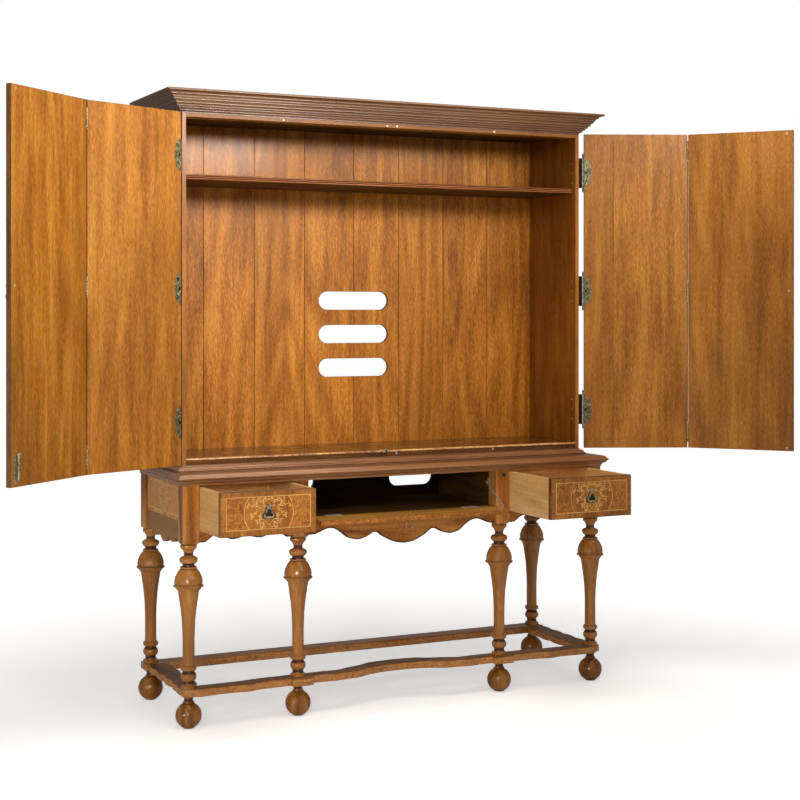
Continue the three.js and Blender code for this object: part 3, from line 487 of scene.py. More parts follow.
def plate(work, outline, low, high, finish, axes, along=2, holes=(), ease=0.8, place=None, glaze_and_shade_share=0.0,
          rim=None):
    """A board with a free outline and holes, between two planes, its arrises eased. Its edges are darkened
    by the given share of glaze and painted shade, and the rim is the finish of its outer edge."""
    loops = [wound(outline)] + [wound(hole, True) for hole in holes]
    inner = [inset(loop, ease) for loop in loops]
    total = sum(map(len, loops))
    levels = ((inner, low), (loops, low + ease), (loops, high - ease), (inner, high))
    points = [axes(u, v, height) for rings, height in levels for ring in rings for u, v in ring]
    faces = []
    start = 0
    for loop in loops:
        for row in (0, 1, 2):
            base = row * total + start
            faces += belt(base, base + total, len(loop))
        start += len(loop)
    caps = tessellate_polygon([[Vector((u, v, 0)) for u, v in ring] for ring in inner])
    faces.extend(list(cap) for cap in caps)
    faces.extend([index + 3 * total for index in cap] for cap in caps)
    # Glaze and painted shade on the edge rings only
    glaze_and_shade = [0.0] * total + [glaze_and_shade_share] * (2 * total) + [0.0] * total
    first = len(work.faces)
    work.add(points, faces, finish, along, place, glaze_and_shade)
    if rim:
        work.paint(first, first + 2 * len(loops[0]), rim)


def loft(work, rings, finish, along=2, place=None, glaze_and_shade=None, crease=ROUND_CREASE, closed=False,
         section=None):
    """A solid through rings of equally many points, with flat ends or closed on itself. The
    section, where it is given, stands for the rings when the ends are cut into faces."""
    count = len(rings[0])
    faces = []
    for row in range(len(rings) if closed else len(rings) - 1):
        faces += belt(row * count, (row + 1) % len(rings) * count, count)
    if not closed:
        last = (len(rings) - 1) * count
        for ring, start in ((rings[0], 0), (rings[-1], last)):
            caps = tessellate_polygon([list(map(Vector, section or ring))])
            faces.extend([start + index for index in cap] for cap in caps)
    work.add([point for ring in rings for point in ring], faces, finish, along, place, glaze_and_shade, crease)


def hollows(profile, reach=9.0, depth=3.2):
    """How deep each point of a profile of height and radius lies between fuller places."""
    shares = []
    for height, radius in profile:
        below = [r for z, r in profile if height - reach <= z <= height]
        above = [r for z, r in profile if height <= z <= height + reach]
        shares.append(min(max((min(max(below), max(above)) - radius) / depth, 0), 1))
    return shares


def lathe(work, profile, finish, x=0.0, y=0.0, sides=36, place=None, glaze_and_shade_share=1.0, reach=9.0, depth=3.2):
    """A turned piece from a profile of height and radius."""
    rings = [
        [(*spot, height) for spot in oval((x, y), radius, radius, sides)] for height, radius in profile
    ]
    # Painted shade with glaze in the hollows of the profile, darker where it lies between fuller places
    glaze_and_shade = [share * glaze_and_shade_share for share in hollows(profile, reach, depth) for _ in range(sides)]
    loft(work, rings, finish, place=place, glaze_and_shade=glaze_and_shade)


def tube(work, path, radius, finish, sides=10, closed=False):
    """A round bar along a path. The radius is a number, or one for each point."""
    path = [Vector(point) for point in path]
    count = len(path)
    rings = []
    side = None
    for index, point in enumerate(path):
        before = path[index - 1] if index or closed else point
        after = path[(index + 1) % count] if index < count - 1 or closed else point
        heading = (after - before).normalized()
        if side is None:
            side = heading.orthogonal().normalized()
        side = (side - heading * side.dot(heading)).normalized()
        up = heading.cross(side)
        reach = radius[index] if isinstance(radius, list) else radius
        rings.append([point + side * u + up * v for u, v in oval((0, 0), reach, reach, sides)])
    loft(work, rings, finish, closed=closed)


def ribbon(work, path, width, low, high, finish, axes, along=2):
    """A flat strip along a path in a face. The width is a number, or one for each point."""
    rings = []
    for index, point in enumerate(path):
        here = Vector(point)
        heading = Vector(path[min(index + 1, len(path) - 1)]) - Vector(path[max(index - 1, 0)])
        heading.normalize()
        across = width[index] if isinstance(width, list) else width
        offset = Vector((-heading.y, heading.x)) * across / 2
        left = here + offset
        right = here - offset
        rings.append([axes(*left, low), axes(*right, low), axes(*right, high), axes(*left, high)])
    loft(work, rings, finish, along, crease=BOARD_CREASE)


def moulding(work, profile, half_width, front, rear, finish, depth):
    """A moulding round the front and both sides, mitred, from a profile of overhang and height."""
    gap = 0.12
    section = profile + [(-depth, profile[-1][1]), (-depth, profile[0][1])]
    flat = [(out, z, 0) for out, z in section]
    # Painted shade with glaze in the coves and hollows of the profile
    glaze_and_shade = 2 * hollows([(z, out) for out, z in section], 6.0, 1.8)
    rings = [[(sign * (half_width + out - gap), front - out, z) for out, z in section] for sign in (-1, 1)]
    loft(work, rings, finish, 0, glaze_and_shade=glaze_and_shade, section=flat)
    for sign in (-1, 1):
        start = [(sign * (half_width + out), front - out + gap, z) for out, z in section]
        ends = [start, [(x, rear, z) for x, _, z in start]]
        loft(work, ends, finish, 1, glaze_and_shade=glaze_and_shade, section=flat)


def stepped(points, fillet):
    """A moulding profile of coves between small fillets, through points of overhang and height."""
    profile = [points[0]]
    for (out, low), (next_out, high) in zip(points, points[1:]):
        corner = (out + fillet, low + fillet * 0.8)
        profile.extend([(out + fillet, low), corner])
        across, up = next_out - corner[0], high - corner[1]
        cove = arc((0, 0), 1, 15, 90, 5)
        profile.extend((corner[0] + across * (1 - u), corner[1] + up * v) for u, v in cove)
    return profile


def rounded(out, low, high, swell, steps=8):
    """A half-round bead between two heights."""
    shares = [step / steps for step in range(steps + 1)]
    return [(out + swell * math.sin(math.pi * share), low + (high - low) * share) for share in shares]


SCREW_DOME = ((-1.0, 0.92), (0.0, 1.0), (0.45, 0.94), (0.8, 0.7), (1.0, 0.2))


def screw(work, at, radius, finish="brass", axes=upright, outward=-1, rise=0.8):
    """A round-headed screw whose shank runs into the piece."""
    loft(work, [
        [axes(u, v, at[2] + outward * rise * height)
         for u, v in oval(at, radius * share, radius * share, 14)]
        for height, share in SCREW_DOME
    ], finish)


def line_frame(work, low, high, width, near, far, axes):
    """Stringing round a rectangle."""
    (u0, v0), (u1, v1) = low, high
    bars = (
        ((u0, v0), (u1, v0 + width)), ((u0, v1 - width), (u1, v1)),
        ((u0, v0 + width), (u0 + width, v1 - width)), ((u1 - width, v0 + width), (u1, v1 - width)),
    )
    for (a, b), (c, d) in bars:
        box(work, axes(a, b, near), axes(c, d, far), "stringing", 0 if c - a > d - b else 2, 0.1)


STRING_WIDTH = 2.6


# Feet and legs

# Height and radius from the leg's foot up
LEG_RUNS = (
    ((0, 27.4), (8, 27.4)), ((9.5, 24), (13, 20.5), (19, 19), (23, 20)),
    ((26, 21), (30, 25.2), (35, 27.1), (39, 27.4), (43, 27.1), (48, 25.2), (53, 21)),
    ((57, 20), (58.5, 21), (61, 25.2), (65, 27.3), (68.5, 27.7), (72, 27.3), (75, 25), (77, 21)),
    ((78, 20.8), (95, 20.6), (128, 20.5), (163, 20.5), (197, 21.5), (231, 23.3), (265, 26.7),
     (299, 31.5), (333, 36.6)),
    ((334, 39), (339, 42.5), (343.5, 44.5)), ((344, 46), (346, 51), (348.5, 52), (351, 51), (352.5, 47)),
    ((353, 47.6), (363, 48.6), (368, 48), (377, 46), (385, 43), (394, 38.5), (402, 33), (407, 27)),
    ((407.6, 26.5), (408.6, 28.6), (411, 29), (413.5, 28.6), (414.5, 26)),
    ((415, 22), (419, 20.5), (423, 21.5)),
    ((424, 22), (427, 26.5), (432, 30.6), (438, 31.8), (443, 30.4), (447, 26), (450, 18)),
    ((455, 15.4), (463, 16.8), (470, 20), (476, 24)),
    ((476.5, 26), (478, 28), (483, 28.5), (488, 28), (490, 26)), ((490.5, 23), (493, 23)),
    ((493.5, 28), (495, 28)),
)
TURNING = {"sides": 44, "reach": 13, "depth": 2.2}
POST_HEIGHT = 201
POST_EASE = 1.4
# Height above the square part's lower end, and how far the face lies back
POST_FOOT = ((0, 5.5), (1.2, 3.4), (3.2, 1.6), (6, 0.4), (9, 0))
BALL = {"radius": 45, "middle": 43, "pad": 20, "neck": 16}


def octagon(half, ease, height):
    """A square ring with cut corners."""
    cut = half - ease
    corner = ((half, cut), (cut, half), (-cut, half), (-half, cut))
    return [(sign * x, sign * y, height) for sign in (1, -1) for x, y in corner]


def make_leg(name, at):
    height = at.z1 - at.z0
    place = Matrix.Translation((at.x, at.y, at.z0))
    levels = [(height - POST_HEIGHT + rise, back) for rise, back in POST_FOOT] + [(height, 0)]
    rings = [octagon(HALF_POST - back, POST_EASE + back, rise) for rise, back in levels]
    work = Work()
    # The turning's hollows carry painted shade and glaze
    lathe(work, runs(LEG_RUNS, 4), "turned", place=place, **TURNING)
    loft(work, rings, "figured", place=place, crease=BOARD_CREASE)
    work.close("turned_leg_" + name, "carcase", "walnut", ["leg_" + name])


def make_foot(name, at):
    low, high = (math.degrees(math.acos(BALL[end] / BALL["radius"])) for end in ("pad", "neck"))
    ball = [(BALL["middle"] + z, r) for r, z in arc((0, 0), BALL["radius"], -low, high, 30)]
    neck = ball[-1][0]
    top = Span("foot_" + name).z1
    collar = runs((
        ((neck + 0.4, 18.5), (neck + 1.5, 20), (neck + 3, 20), (neck + 4, 18)),
        ((neck + 4.6, 16.2), (neck + 9, 15.4), (top - 7, 16)),
        ((top - 5, 18.6), (top - 3.5, 19.8), (top, 20)),
    ), 3)
    work = Work()
    pad = [(0, BALL["pad"] - 1.5), (1, BALL["pad"] - 0.3)]
    # The hollows of the foot carry painted shade and glaze
    lathe(work, pad + ball + collar, "ball", place=Matrix.Translation((at.x, at.y, 0)), **TURNING)
    work.close("ball_foot_" + name, "carcase", "walnut", ["foot_" + name])


def make_legs():
    for name in LEG_NAMES:
        at = Span("leg_" + name)
        make_leg(name, at)
        make_foot(name, at)


# Stretchers

# Shares of the half width and of the bow, forward from the middle of the board
FRONT_RUNS_SHARES = (
    ((0, 0.58), (0.075, 0.61), (0.15, 0.75), (0.21, 0.95), (0.27, 0.99)),
    ((0.27, 0.99), (0.325, 1.06), (0.39, 0.99), (0.436, 1.02)),
    ((0.436, 1.24), (0.53, 1.24)),
    ((0.53, 1.05), (0.6, 1.06), (0.66, 1.08), (0.722, 1.2)),
    ((0.722, 1.2), (0.78, 1.13), (0.86, 1.14), (0.93, 1.2)),
)
REAR_RUNS_SHARES = (
    ((0.92, 0.68), (0.8, 0.68), (0.722, 0.66)),
    ((0.722, 0.66), (0.66, 0.6), (0.58, 0.58), (0.5, 0.57), (0.43, 0.57), (0.36, 0.56)),
    ((0.36, 0.56), (0.29, 0.58), (0.235, 0.43), (0.16, 0.26), (0.107, 0.07), (0, 0)),
)
STRETCHER = {"inset": 11, "reach": 62, "bow": 118, "drop_share": 0.68, "lobes": 4, "scallop": 8}
STRETCHER_EASE = 2.6
SIDE_STRETCHER_EASE = 2.4


def bowed_outline(at):
    half = post("front_right").x1
    front = post("front_left").y0 + STRETCHER["inset"]
    rear = front + STRETCHER["reach"]
    bow = STRETCHER["bow"]
    middle = rear - (at.z1 - at.z0) + bow * STRETCHER["drop_share"]
    foremost, hindmost = (
        runs([[(x * half, middle - forward * bow) for x, forward in run] for run in shares], 8)
        for shares in (FRONT_RUNS_SHARES, REAR_RUNS_SHARES)
    )
    right = foremost + [(at.x1, front), (at.x1, rear)] + hindmost
    return right + [(-x, y) for x, y in right if x > 0.5][::-1]


def lobed_outline(at, sign, steps=64):
    outer, inner = (at.x1, at.x0) if sign > 0 else (at.x0, at.x1)
    edge = []
    for step in range(steps + 1):
        share = step / steps
        hollow = STRETCHER["scallop"] * (1 - abs(math.sin(math.pi * STRETCHER["lobes"] * share)))
        edge.append((sign * hollow, at.y0 + (at.y1 - at.y0) * share))
    return [(outer - back, y) for back, y in edge] + [(inner + back, y) for back, y in edge[::-1]]


def make_stretcher(name, piece, outline, finish, along, ease):
    at = Span("stretcher_" + name)
    work = Work()
    plate(work, outline, at.z0, at.z1, finish, level, along, ease=ease, rim="rim")
    work.close(piece, "carcase", "walnut", ["stretcher_" + name])


def rectangle(u0, v0, u1, v1):
    return [(u0, v0), (u1, v0), (u1, v1), (u0, v1)]


def make_stretchers():
    front = bowed_outline(Span("stretcher_front"))
    make_stretcher("front", "bowed_stretcher", front, "tread", 0, STRETCHER_EASE)
    at = Span("stretcher_back")
    back = rectangle(at.x0, at.y0, at.x1, at.y1)
    make_stretcher("back", "rear_stretcher", back, "crossband", 0, STRETCHER_EASE)
    for name, sign in SIDES:
        outline = lobed_outline(Span("stretcher_" + name), sign)
        make_stretcher(name, "side_stretcher_" + name, outline, "tread", 1, SIDE_STRETCHER_EASE)


# Aprons and side panels

# Shares of the half width and of the drop, from the middle of the board
CENTRE_RUNS_SHARES = (
    ((0, 1), (0.1, 0.934), (0.212, 0.714), (0.252, 0.593), (0.286, 0.49)),
    ((0.286, 0.49), (0.339, 0.49)),
    ((0.339, 0.49), (0.381, 0.604), (0.432, 0.69), (0.493, 0.736), (0.556, 0.69), (0.596, 0.626),
     (0.662, 0.407), (0.72, 0.275), (0.784, 0.22), (0.842, 0.275), (0.887, 0.35), (0.93, 0.42)),
    ((0.93, 0.42), (1, 0.43)),
)
BAY_RUNS_SHARES = (
    ((0, 0.68), (0.1, 0.76), (0.28, 0.9), (0.42, 0.76), (0.52, 0.54), (0.62, 0.44), (0.72, 0.54),
     (0.8, 0.78), (0.867, 0.94)),
    ((0.867, 1), (1, 1)),
)
SIDE_RUNS_SHARES = (
    ((0, 1), (0.1, 0.985), (0.18, 0.94), (0.27, 0.895)),
    ((0.27, 0.895), (0.33, 0.895)),
    ((0.33, 0.895), (0.42, 0.94), (0.52, 0.95), (0.6, 0.93), (0.68, 0.88), (0.76, 0.855),
     (0.84, 0.87), (0.9, 0.9)),
    ((0.9, 0.9), (1, 0.9)),
)
BEAD = 3.4
APRON_STRING = 2.2


def scalloped_edge(shares, middle, half, top, drop):
    """The scalloped lower edge of a board, from its left end to its right end."""
    right = runs([[(along * half, top - down * drop) for along, down in run] for run in shares], 6)
    left = [(-along, height) for along, height in right if along > 0.5][::-1]
    return [(middle + along, height) for along, height in left + right]


def make_aprons():
    boards = {"centre": CENTRE_RUNS_SHARES, "left": BAY_RUNS_SHARES, "right": BAY_RUNS_SHARES}
    for name, shares in boards.items():
        node = "apron_" + name
        at = Span(node)
        edge = scalloped_edge(shares, at.x, (at.x1 - at.x0) / 2, at.z1, at.z1 - at.z0)
        board, bead, string = (
            [(x, z + rise) for x, z in edge] for rise in (BEAD, BEAD / 2, BEAD + 1.2)
        )
        work = Work()
        plate(work, board + [(at.x1, at.z1), (at.x0, at.z1)], at.y0, at.y1, "apron", upright, along=0)
        ribbon(work, bead, BEAD, at.y0 - 0.8, at.y1, "dark", upright, along=0)
        ribbon(work, string, APRON_STRING, at.y0 - 0.5, at.y0 + 1, "rail", upright, along=0)
        work.close(node + "_board", "carcase", "walnut", [node])


STEM_STEPS = 26


def stem(start, heading, length, steps, turn, pace):
    """Points on a stem. At a share of its length it turns by turn(share) degrees in a whole
    length, and goes on at pace(share)."""
    point = Vector(start)
    angle = math.radians(heading)
    path = []
    for share in [step / steps for step in range(steps + 1)]:
        path.append(tuple(point))
        angle += math.radians(turn(share)) / steps
        point += Vector((math.cos(angle), math.sin(angle))) * length * pace(share) / steps
    return path


def scroll(start, heading, length, curl):
    """A stem that curls tighter to its end."""
    turn = lambda share: curl * (0.25 + 1.9 * share * share)
    return stem(start, heading, length, STEM_STEPS, turn, lambda share: 1.35 - 0.9 * share)


# Start, heading, length, curl and width of each stem of half a medallion, in shares of its height
STEMS_SHARES = (
    (0.02, -0.8, 60, 1.45, -330, 0.03), (0.04, -0.3, 30, 1.15, 360, 0.028),
    (0.02, 0.15, 50, 1.3, -380, 0.028), (0.03, 0.86, -40, 1.1, 350, 0.028),
    (0.62, -0.72, 80, 0.95, 340, 0.026), (0.72, 0.1, 100, 1.0, -360, 0.026),
    (0.5, 0.8, -30, 1.0, 340, 0.026), (1.18, -0.4, 85, 0.9, 350, 0.024),
    (1.1, 0.45, 30, 0.7, -330, 0.024), (0.3, 0.5, 60, 0.8, 380, 0.024),
    (0.3, -0.55, -20, 0.8, -350, 0.024), (0.86, -0.8, 150, 0.6, -340, 0.024),
    (0.95, 0.75, -150, 0.6, 340, 0.024), (0.4, 0.2, 170, 0.5, -340, 0.024),
    (0.85, -0.2, 140, 0.5, 340, 0.024), (0.15, -0.92, 10, 0.6, 330, 0.024),
    (0.18, 0.92, -170, 0.4, -330, 0.024), (1.22, 0.0, -80, 0.5, -330, 0.022),
)
LEAFLET = {"length": 0.14, "width": 0.055, "bend": 60, "lean": 55, "steps": 6}
LEAFLETS_AT = (7, 12, 17, 22)


def medallion(work, centre, size, reach, low, high, axes):
    """An arabesque of curling stems and small leaves, let into a veneered face."""
    stem_widths = [1.4 - 0.7 * step / STEM_STEPS for step in range(STEM_STEPS + 1)]
    steps = LEAFLET["steps"]
    swell = [math.sin(math.pi * step / steps) ** 0.8 for step in range(steps + 1)]
    leaf_widths = [0.4 + 1.2 * LEAFLET["width"] * size * share for share in swell]
    for sign in (-1, 1):
        for index, (x, y, heading, length, curl, width) in enumerate(STEMS_SHARES):
            path = scroll((x * size, y * size), heading, length * size, curl)
            strips = [(path, [width * size * share for share in stem_widths])]
            for step in LEAFLETS_AT:
                ahead = Vector(path[step + 1]) - Vector(path[step])
                side = 1 if (step + index) % 2 else -1
                lean = math.degrees(math.atan2(ahead.y, ahead.x)) + side * LEAFLET["lean"]
                bend = side * LEAFLET["bend"]
                leaf = stem(path[step], lean, LEAFLET["length"] * size, steps, lambda _: bend, lambda _: 1)
                strips.append((leaf, leaf_widths))
            for strip, widths in strips:
                strip = [(sign * u, v) for u, v in strip]
                if all(reach(u, v) for u, v in strip):
                    moved = [(centre[0] + u, centre[1] + v) for u, v in strip]
                    ribbon(work, moved, widths, low, high, "seaweed", axes)


PANEL = {"split": 127, "thick": 18, "margin": 20, "band": 14}
GUIDE = {"drop": 23, "height": 15}


def make_side_panels():
    for name, sign in SIDES:
        at = Span("side_panel_" + name)
        outer, guide = (at.x1, at.x0) if sign > 0 else (at.x0, at.x1)
        inner = outer - sign * PANEL["thick"]
        edge = scalloped_edge(SIDE_RUNS_SHARES, at.y, (at.y1 - at.y0) / 2, at.z1, at.z1 - at.z0)
        split = at.z1 - PANEL["split"]
        work = Work()
        low, high = sorted((outer - sign * 1.5, inner))
        plate(work, edge + [(at.y1, split), (at.y0, split)], low, high, "drab", crosswise, along=1)
        box(work, (outer, at.y0, split), (inner, at.y1, at.z1), "flank_band")
        front, bottom = at.y0 + PANEL["margin"], split + PANEL["band"]
        rear, top = at.y1 - PANEL["margin"], at.z1 - PANEL["band"]
        deep = outer - sign
        faces = sorted((deep, outer + sign * 0.35))
        box(work, (deep, front, bottom), (outer + sign * 0.15, rear, top), "flank", 1, 0.05)
        line_frame(work, (front, bottom), (rear, top), STRING_WIDTH, *faces, crosswise)
        tall = (top - bottom) / 2 - 3
        reach = lambda u, v: math.hypot(u, v) < tall * 1.5 and abs(v) < tall
        medallion(work, ((front + rear) / 2, (bottom + top) / 2), tall, reach, *faces, crosswise)
        low = Span("drawer_floor").z1 - GUIDE["drop"]
        box(work, (guide, at.y0, low), (inner, at.y1, low + GUIDE["height"]), "inside", 1)
        work.close("side_panel_board_" + name, "carcase", "walnut", ["side_panel_" + name])


# Stand: top, floors, dividers and back

# Overhang and height of the upper end of the waist's section
WAIST = {"height": 39, "depth": 60}
WAIST_CAP = ((17.5, 32.2), (15.8, 33.4), (13.5, 37), (10, 39))
BASE_DEPTH = 14


def make_stand_top():
    at = Span("stand_top")
    leg = post("front_right")
    low = at.z0
    waist = low + WAIST["height"]
    half = leg.x1
    profile = [(0, 0), (2.5, 0), (2.5, 2)]
    profile += [(2.5 + out, 2 + z) for out, z in arc((10.5, 0), 10.5, 180, 100, 7)]
    profile += rounded(14, 13.2, 18, 2.4) + [(17, 18.3), (18, 19.6)]
    profile += rounded(18, 19.6, 31.5, 5.4, 12) + list(WAIST_CAP)
    work = Work()
    moulding(work, [(out, low + z) for out, z in profile], half, leg.y0, at.y1, "waist", WAIST["depth"])
    depth = WAIST["depth"] - 0.2
    box(work, (-half + depth, leg.y0 + depth, low + 0.4), (half - depth, at.y1, waist - 0.2), "waist", 0)
    half = Span("case_side_right").x1
    base = [(17, waist)] + rounded(17, waist + 0.6, waist + 6.4, 3) + [(15.2, waist + 7)]
    base += [(1.5 + 13.7 * u, waist + 7.6 + 9.6 * v) for u, v in arc((0, 0), 1, 0, 90, 7)]
    base += [(1.2, waist + 18.2)] + rounded(0.1, waist + 18.6, at.z1, 1.4, 5)
    moulding(work, base, half, 0, at.y1, "waist", BASE_DEPTH)
    depth = BASE_DEPTH - 0.2
    box(work, (-half + depth, depth, waist - 0.2), (half - depth, at.y1, at.z1), "inside", 0)
    work.close("moulded_top", "carcase", "moulding", ["stand_top"])


STAND_SLOT = {"near": 160, "length": 190, "height": 70, "rise": 60}
INSIDE = {"raised": 23, "boards": 4, "divider": 18, "guide": 15, "back_rise": 18}


def stadium(middle, low, length, height, steps=12):
    """A slot with round ends."""
    radius = height / 2
    reach = length / 2 - radius
    right = arc((middle + reach, low + radius), radius, -90, 90, steps)
    return right + arc((middle - reach, low + radius), radius, 90, 270, steps)


def make_dust_boards(leg):
    """The floor under all three bays, notched round the posts, and the compartment's boards."""
    at = Span("drawer_floor")
    low_top = at.z1 - INSIDE["raised"]
    rear = leg.y1
    right = [(leg.x0, at.y0), (leg.x0, rear), (leg.x1, rear), (leg.x1, at.y0), (at.x1, at.y0)]
    front = [(-x, y) for x, y in right[::-1]] + right
    work = Work()
    # The dust boards are darker as painted shade deep inside the stand
    plate(work, front + [(at.x1, at.y1), (at.x0, at.y1)], at.z0, low_top, "gloom", level, 0, ease=0.6)
    start = Span("flap").y1 + 0.3
    depth = at.y1 - start
    boards = INSIDE["boards"]
    for index in range(boards):
        near = start + (depth + 0.3) * index / boards
        far = min(start + depth * (index + 1) / boards, at.y1)
        box(work, (-leg.x0, near, low_top + 0.1), (leg.x0, far, at.z1), "gloom", 0, 0.7)
    work.close("dust_boards", "carcase", "panel", ["drawer_floor"])


def make_stand_inside():
    leg = post("front_mid_right")
    make_dust_boards(leg)
    for name, sign in SIDES:
        at = Span("divider_" + name)
        wall = leg.x0 * sign
        far = wall + sign * INSIDE["divider"]
        work = Work()
        # The divider's wall is darker as painted shade inside the compartment
        box(work, (wall, at.y0, at.z0), (far, at.y1, at.z1), "gloom", 1)
        guide = at.z0 + INSIDE["guide"]
        box(work, (far - sign * 0.5, at.y0, at.z0), (sign * leg.x1, at.y1, guide), "oak", 1)
        work.close("divider_board_" + name, "carcase", "panel", ["divider_" + name])
    at = Span("stand_back")
    low = at.z0 + INSIDE["back_rise"] + STAND_SLOT["rise"]
    length = STAND_SLOT["length"]
    middle = STAND_SLOT["near"] + length / 2
    holes = [stadium(sign * middle, low, length, STAND_SLOT["height"]) for _, sign in SIDES]
    work = Work()
    board = rectangle(at.x0, at.z0, at.x1, at.z1)
    # The back board is near black, as painted shade behind the compartment
    plate(work, board, at.y0, at.y1, "dark", upright, along=0, holes=holes)
    work.close("stand_back_board", "carcase", "dark", ["stand_back"])


# Drawers and their pulls

DRAWER_PULL = {"width": 42, "wire": 5.5, "lobe": 0.16, "eye": 1.5, "thickness": 5.2}
FLAP_PULL = {"width": 40, "wire": 4.5, "lobe": 0.1, "eye": 2, "thickness": 4.2}
TRAY_WALL = 12
FIELD = {"sides": 20, "top": 17, "bottom": 20}
DISC = 88


def lobed_ring(width, lobe, rise, back=0.0, steps=48):
    """The middle line of a three-lobed ring, as across and up from its pin."""
    radius = width / 2
    ring = []
    for step in range(steps):
        angle = math.tau * step / steps
        reach = radius * (1 - lobe * (1 - math.cos(3 * (angle - math.pi / 2)))) - back
        ring.append((reach * math.cos(angle), reach * math.sin(angle) - radius + rise))
    return ring


def bail(work, size, x, y, z, finish):
    """A cast bail hanging from its pin, with small swellings between its lobes."""
    ring = lobed_ring(size["width"], size["lobe"], size["eye"], size["wire"] / 2)
    turns = [6 * math.tau * step / len(ring) for step in range(len(ring))]
    radii = [size["thickness"] / 2 * (0.8 + 0.2 * math.cos(turn) ** 2) for turn in turns]
    tube(work, [(x + u, y, z + v) for u, v in ring], radii, finish, closed=True)


def make_tray(name):
    at = Span("drawer_box_" + name)
    low = at.z0
    left, right = at.x0 + TRAY_WALL, at.x1 - TRAY_WALL
    rear = at.y1 - TRAY_WALL
    work = Work()
    for edge, inner in ((at.x0, left), (at.x1, right)):
        box(work, (edge, at.y0, low), (inner, at.y1, at.z1 - 0.4), "oak", 1, 1.2)
    box(work, (left, rear, low + 4), (right, at.y1, at.z1 - 3), "oak", 0, 1)
    box(work, (left - 1, at.y0, low + 6), (right + 1, rear + 1, low + 12), "oak", 0, 0.5)
    work.close("drawer_tray_" + name, name + "_drawer", "oak", ["drawer_box_" + name])


def add_pull_plate(work, x, face, pin):
    """The back plate of a bail, with its crest, posts, pin and screw."""
    backplate = [(x + u * 1.18, pin + v * 1.12 + 3) for u, v in lobed_ring(46, 0.2, 3)]
    crest = arc((x, pin + 5.5), 8, 0, 350, 20)
    plate(work, backplate, face - 0.55, face + 0.6, "bronze", upright, ease=0.25)
    plate(work, crest, face - 0.7, face + 0.6, "silver", upright, ease=0.25)
    for post_x in (x - 3.2, x + 3.2):
        tube(work, [(post_x, face + 0.5, pin), (post_x, face - 4.6, pin)], 1.2, "brass")
    tube(work, [(x - 4.2, face - 2.8, pin), (x + 4.2, face - 2.8, pin)], 0.9, "brass")
    screw(work, (x, pin + 6.5, face - 0.7), 2.4)


def make_drawer_face(name, pin):
    at = Span("drawer_front_" + name)
    near, far = at.y0, at.y0 + 1.4
    left, right = at.x0 + FIELD["sides"], at.x1 - FIELD["sides"]
    low, high = at.z0 + FIELD["bottom"], at.z1 - FIELD["top"]
    work = Work()
    box(work, (at.x0, near + 0.6, at.z0), (at.x1, at.y1, at.z1), "edge", 0, 1.2)
    for a, b, along in (
        ((at.x0 + 2, low), (left, high), 0), ((right, low), (at.x1 - 2, high), 0),
        ((at.x0 + 2, at.z0 + 2), (at.x1 - 2, low), 2), ((at.x0 + 2, high), (at.x1 - 2, at.z1 - 2), 2),
    ):
        box(work, upright(*a, near + 0.3), upright(*b, far), "crossband", along, 0.2)
    quarter = (right - left) / 4
    for index in range(4):
        start = left + index * quarter
        along = 2 if index % 2 else 0
        box(work, (start, near + 0.3, low), (start + quarter, far, high), "burr", along, 0.05)
    line_frame(work, (left, low), (right, high), STRING_WIDTH, near + 0.1, far, upright)
    centre = ((left + right) / 2, (low + high) / 2)
    half = (high - low) / 2
    cut = math.degrees(math.asin(half / DISC))
    ends = [arc(centre, DISC, turn - cut, turn + cut, 20) for turn in (0, 180)]
    plate(work, ends[0] + ends[1], near + 0.2, near + 0.9, "ground", upright, ease=0.05)
    for end in ends:
        ribbon(work, end, 2.4, near + 0.1, far, "stringing", upright)
    tall = half - 3
    off_plate = lambda u, v: abs(u) > 14 or abs(v - 4) > 30
    reach = lambda u, v: math.hypot(u, v) < DISC - 3 and abs(v) < tall and off_plate(u, v)
    medallion(work, centre, tall, reach, near + 0.05, far, upright)
    add_pull_plate(work, centre[0], near, pin)
    work.close("drawer_face_" + name, name + "_drawer", "burr", ["drawer_front_" + name])


def make_drawers():
    for name, _ in SIDES:
        pull = Span("drawer_pull_" + name)
        pin = pull.z1 - DRAWER_PULL["eye"]
        make_tray(name)
        make_drawer_face(name, pin)
        work = Work()
        bail(work, DRAWER_PULL, pull.x, pull.y, pin, "silver")
        work.close("drawer_bail_" + name, name + "_drawer_bail", "brass", ["drawer_pull_" + name])


# Drop front

BUTT = {"spots": (-275, 275), "half": 31, "pin_gap": 1.5, "width": 19, "screw": 11}
STAY = {"pivot": -166, "rise": 9, "length": 150, "width": 8, "degrees": 31.5, "eye": 8.4}
FLAP_BOARDS = 3
FLAP_FIELD = {"sides": 20, "near": 18, "far": 20}
FLAP_BOLT = {"x": 10, "from_front": 86}
FLAP_RING_FROM_REAR = 64
# Across, from the foot of the stay's bracket to the end of its pivot, and half the bracket's depth
BRACKET = {"foot": 360, "inner": 370.2, "outer": 371.6, "pivot": 373.9, "half": 8}


def add_butt_leaves(work, flap, side):
    """The leaf of each butt hinge in front of its pin, side -1, or behind it, side 1."""
    near, far, middle = (flap.y1 + side * BUTT[key] for key in ("pin_gap", "width", "screw"))
    for spot in BUTT["spots"]:
        left, right = spot - BUTT["half"], spot + BUTT["half"]
        box(work, (left, near, flap.z1 - 1), (right, far, flap.z1 + 0.35), "steel", 0, 0.3)
        for x in (spot - 22, spot, spot + 22):
            screw(work, (x, middle, flap.z1 + 0.3), 2.3, axes=level, outward=1)


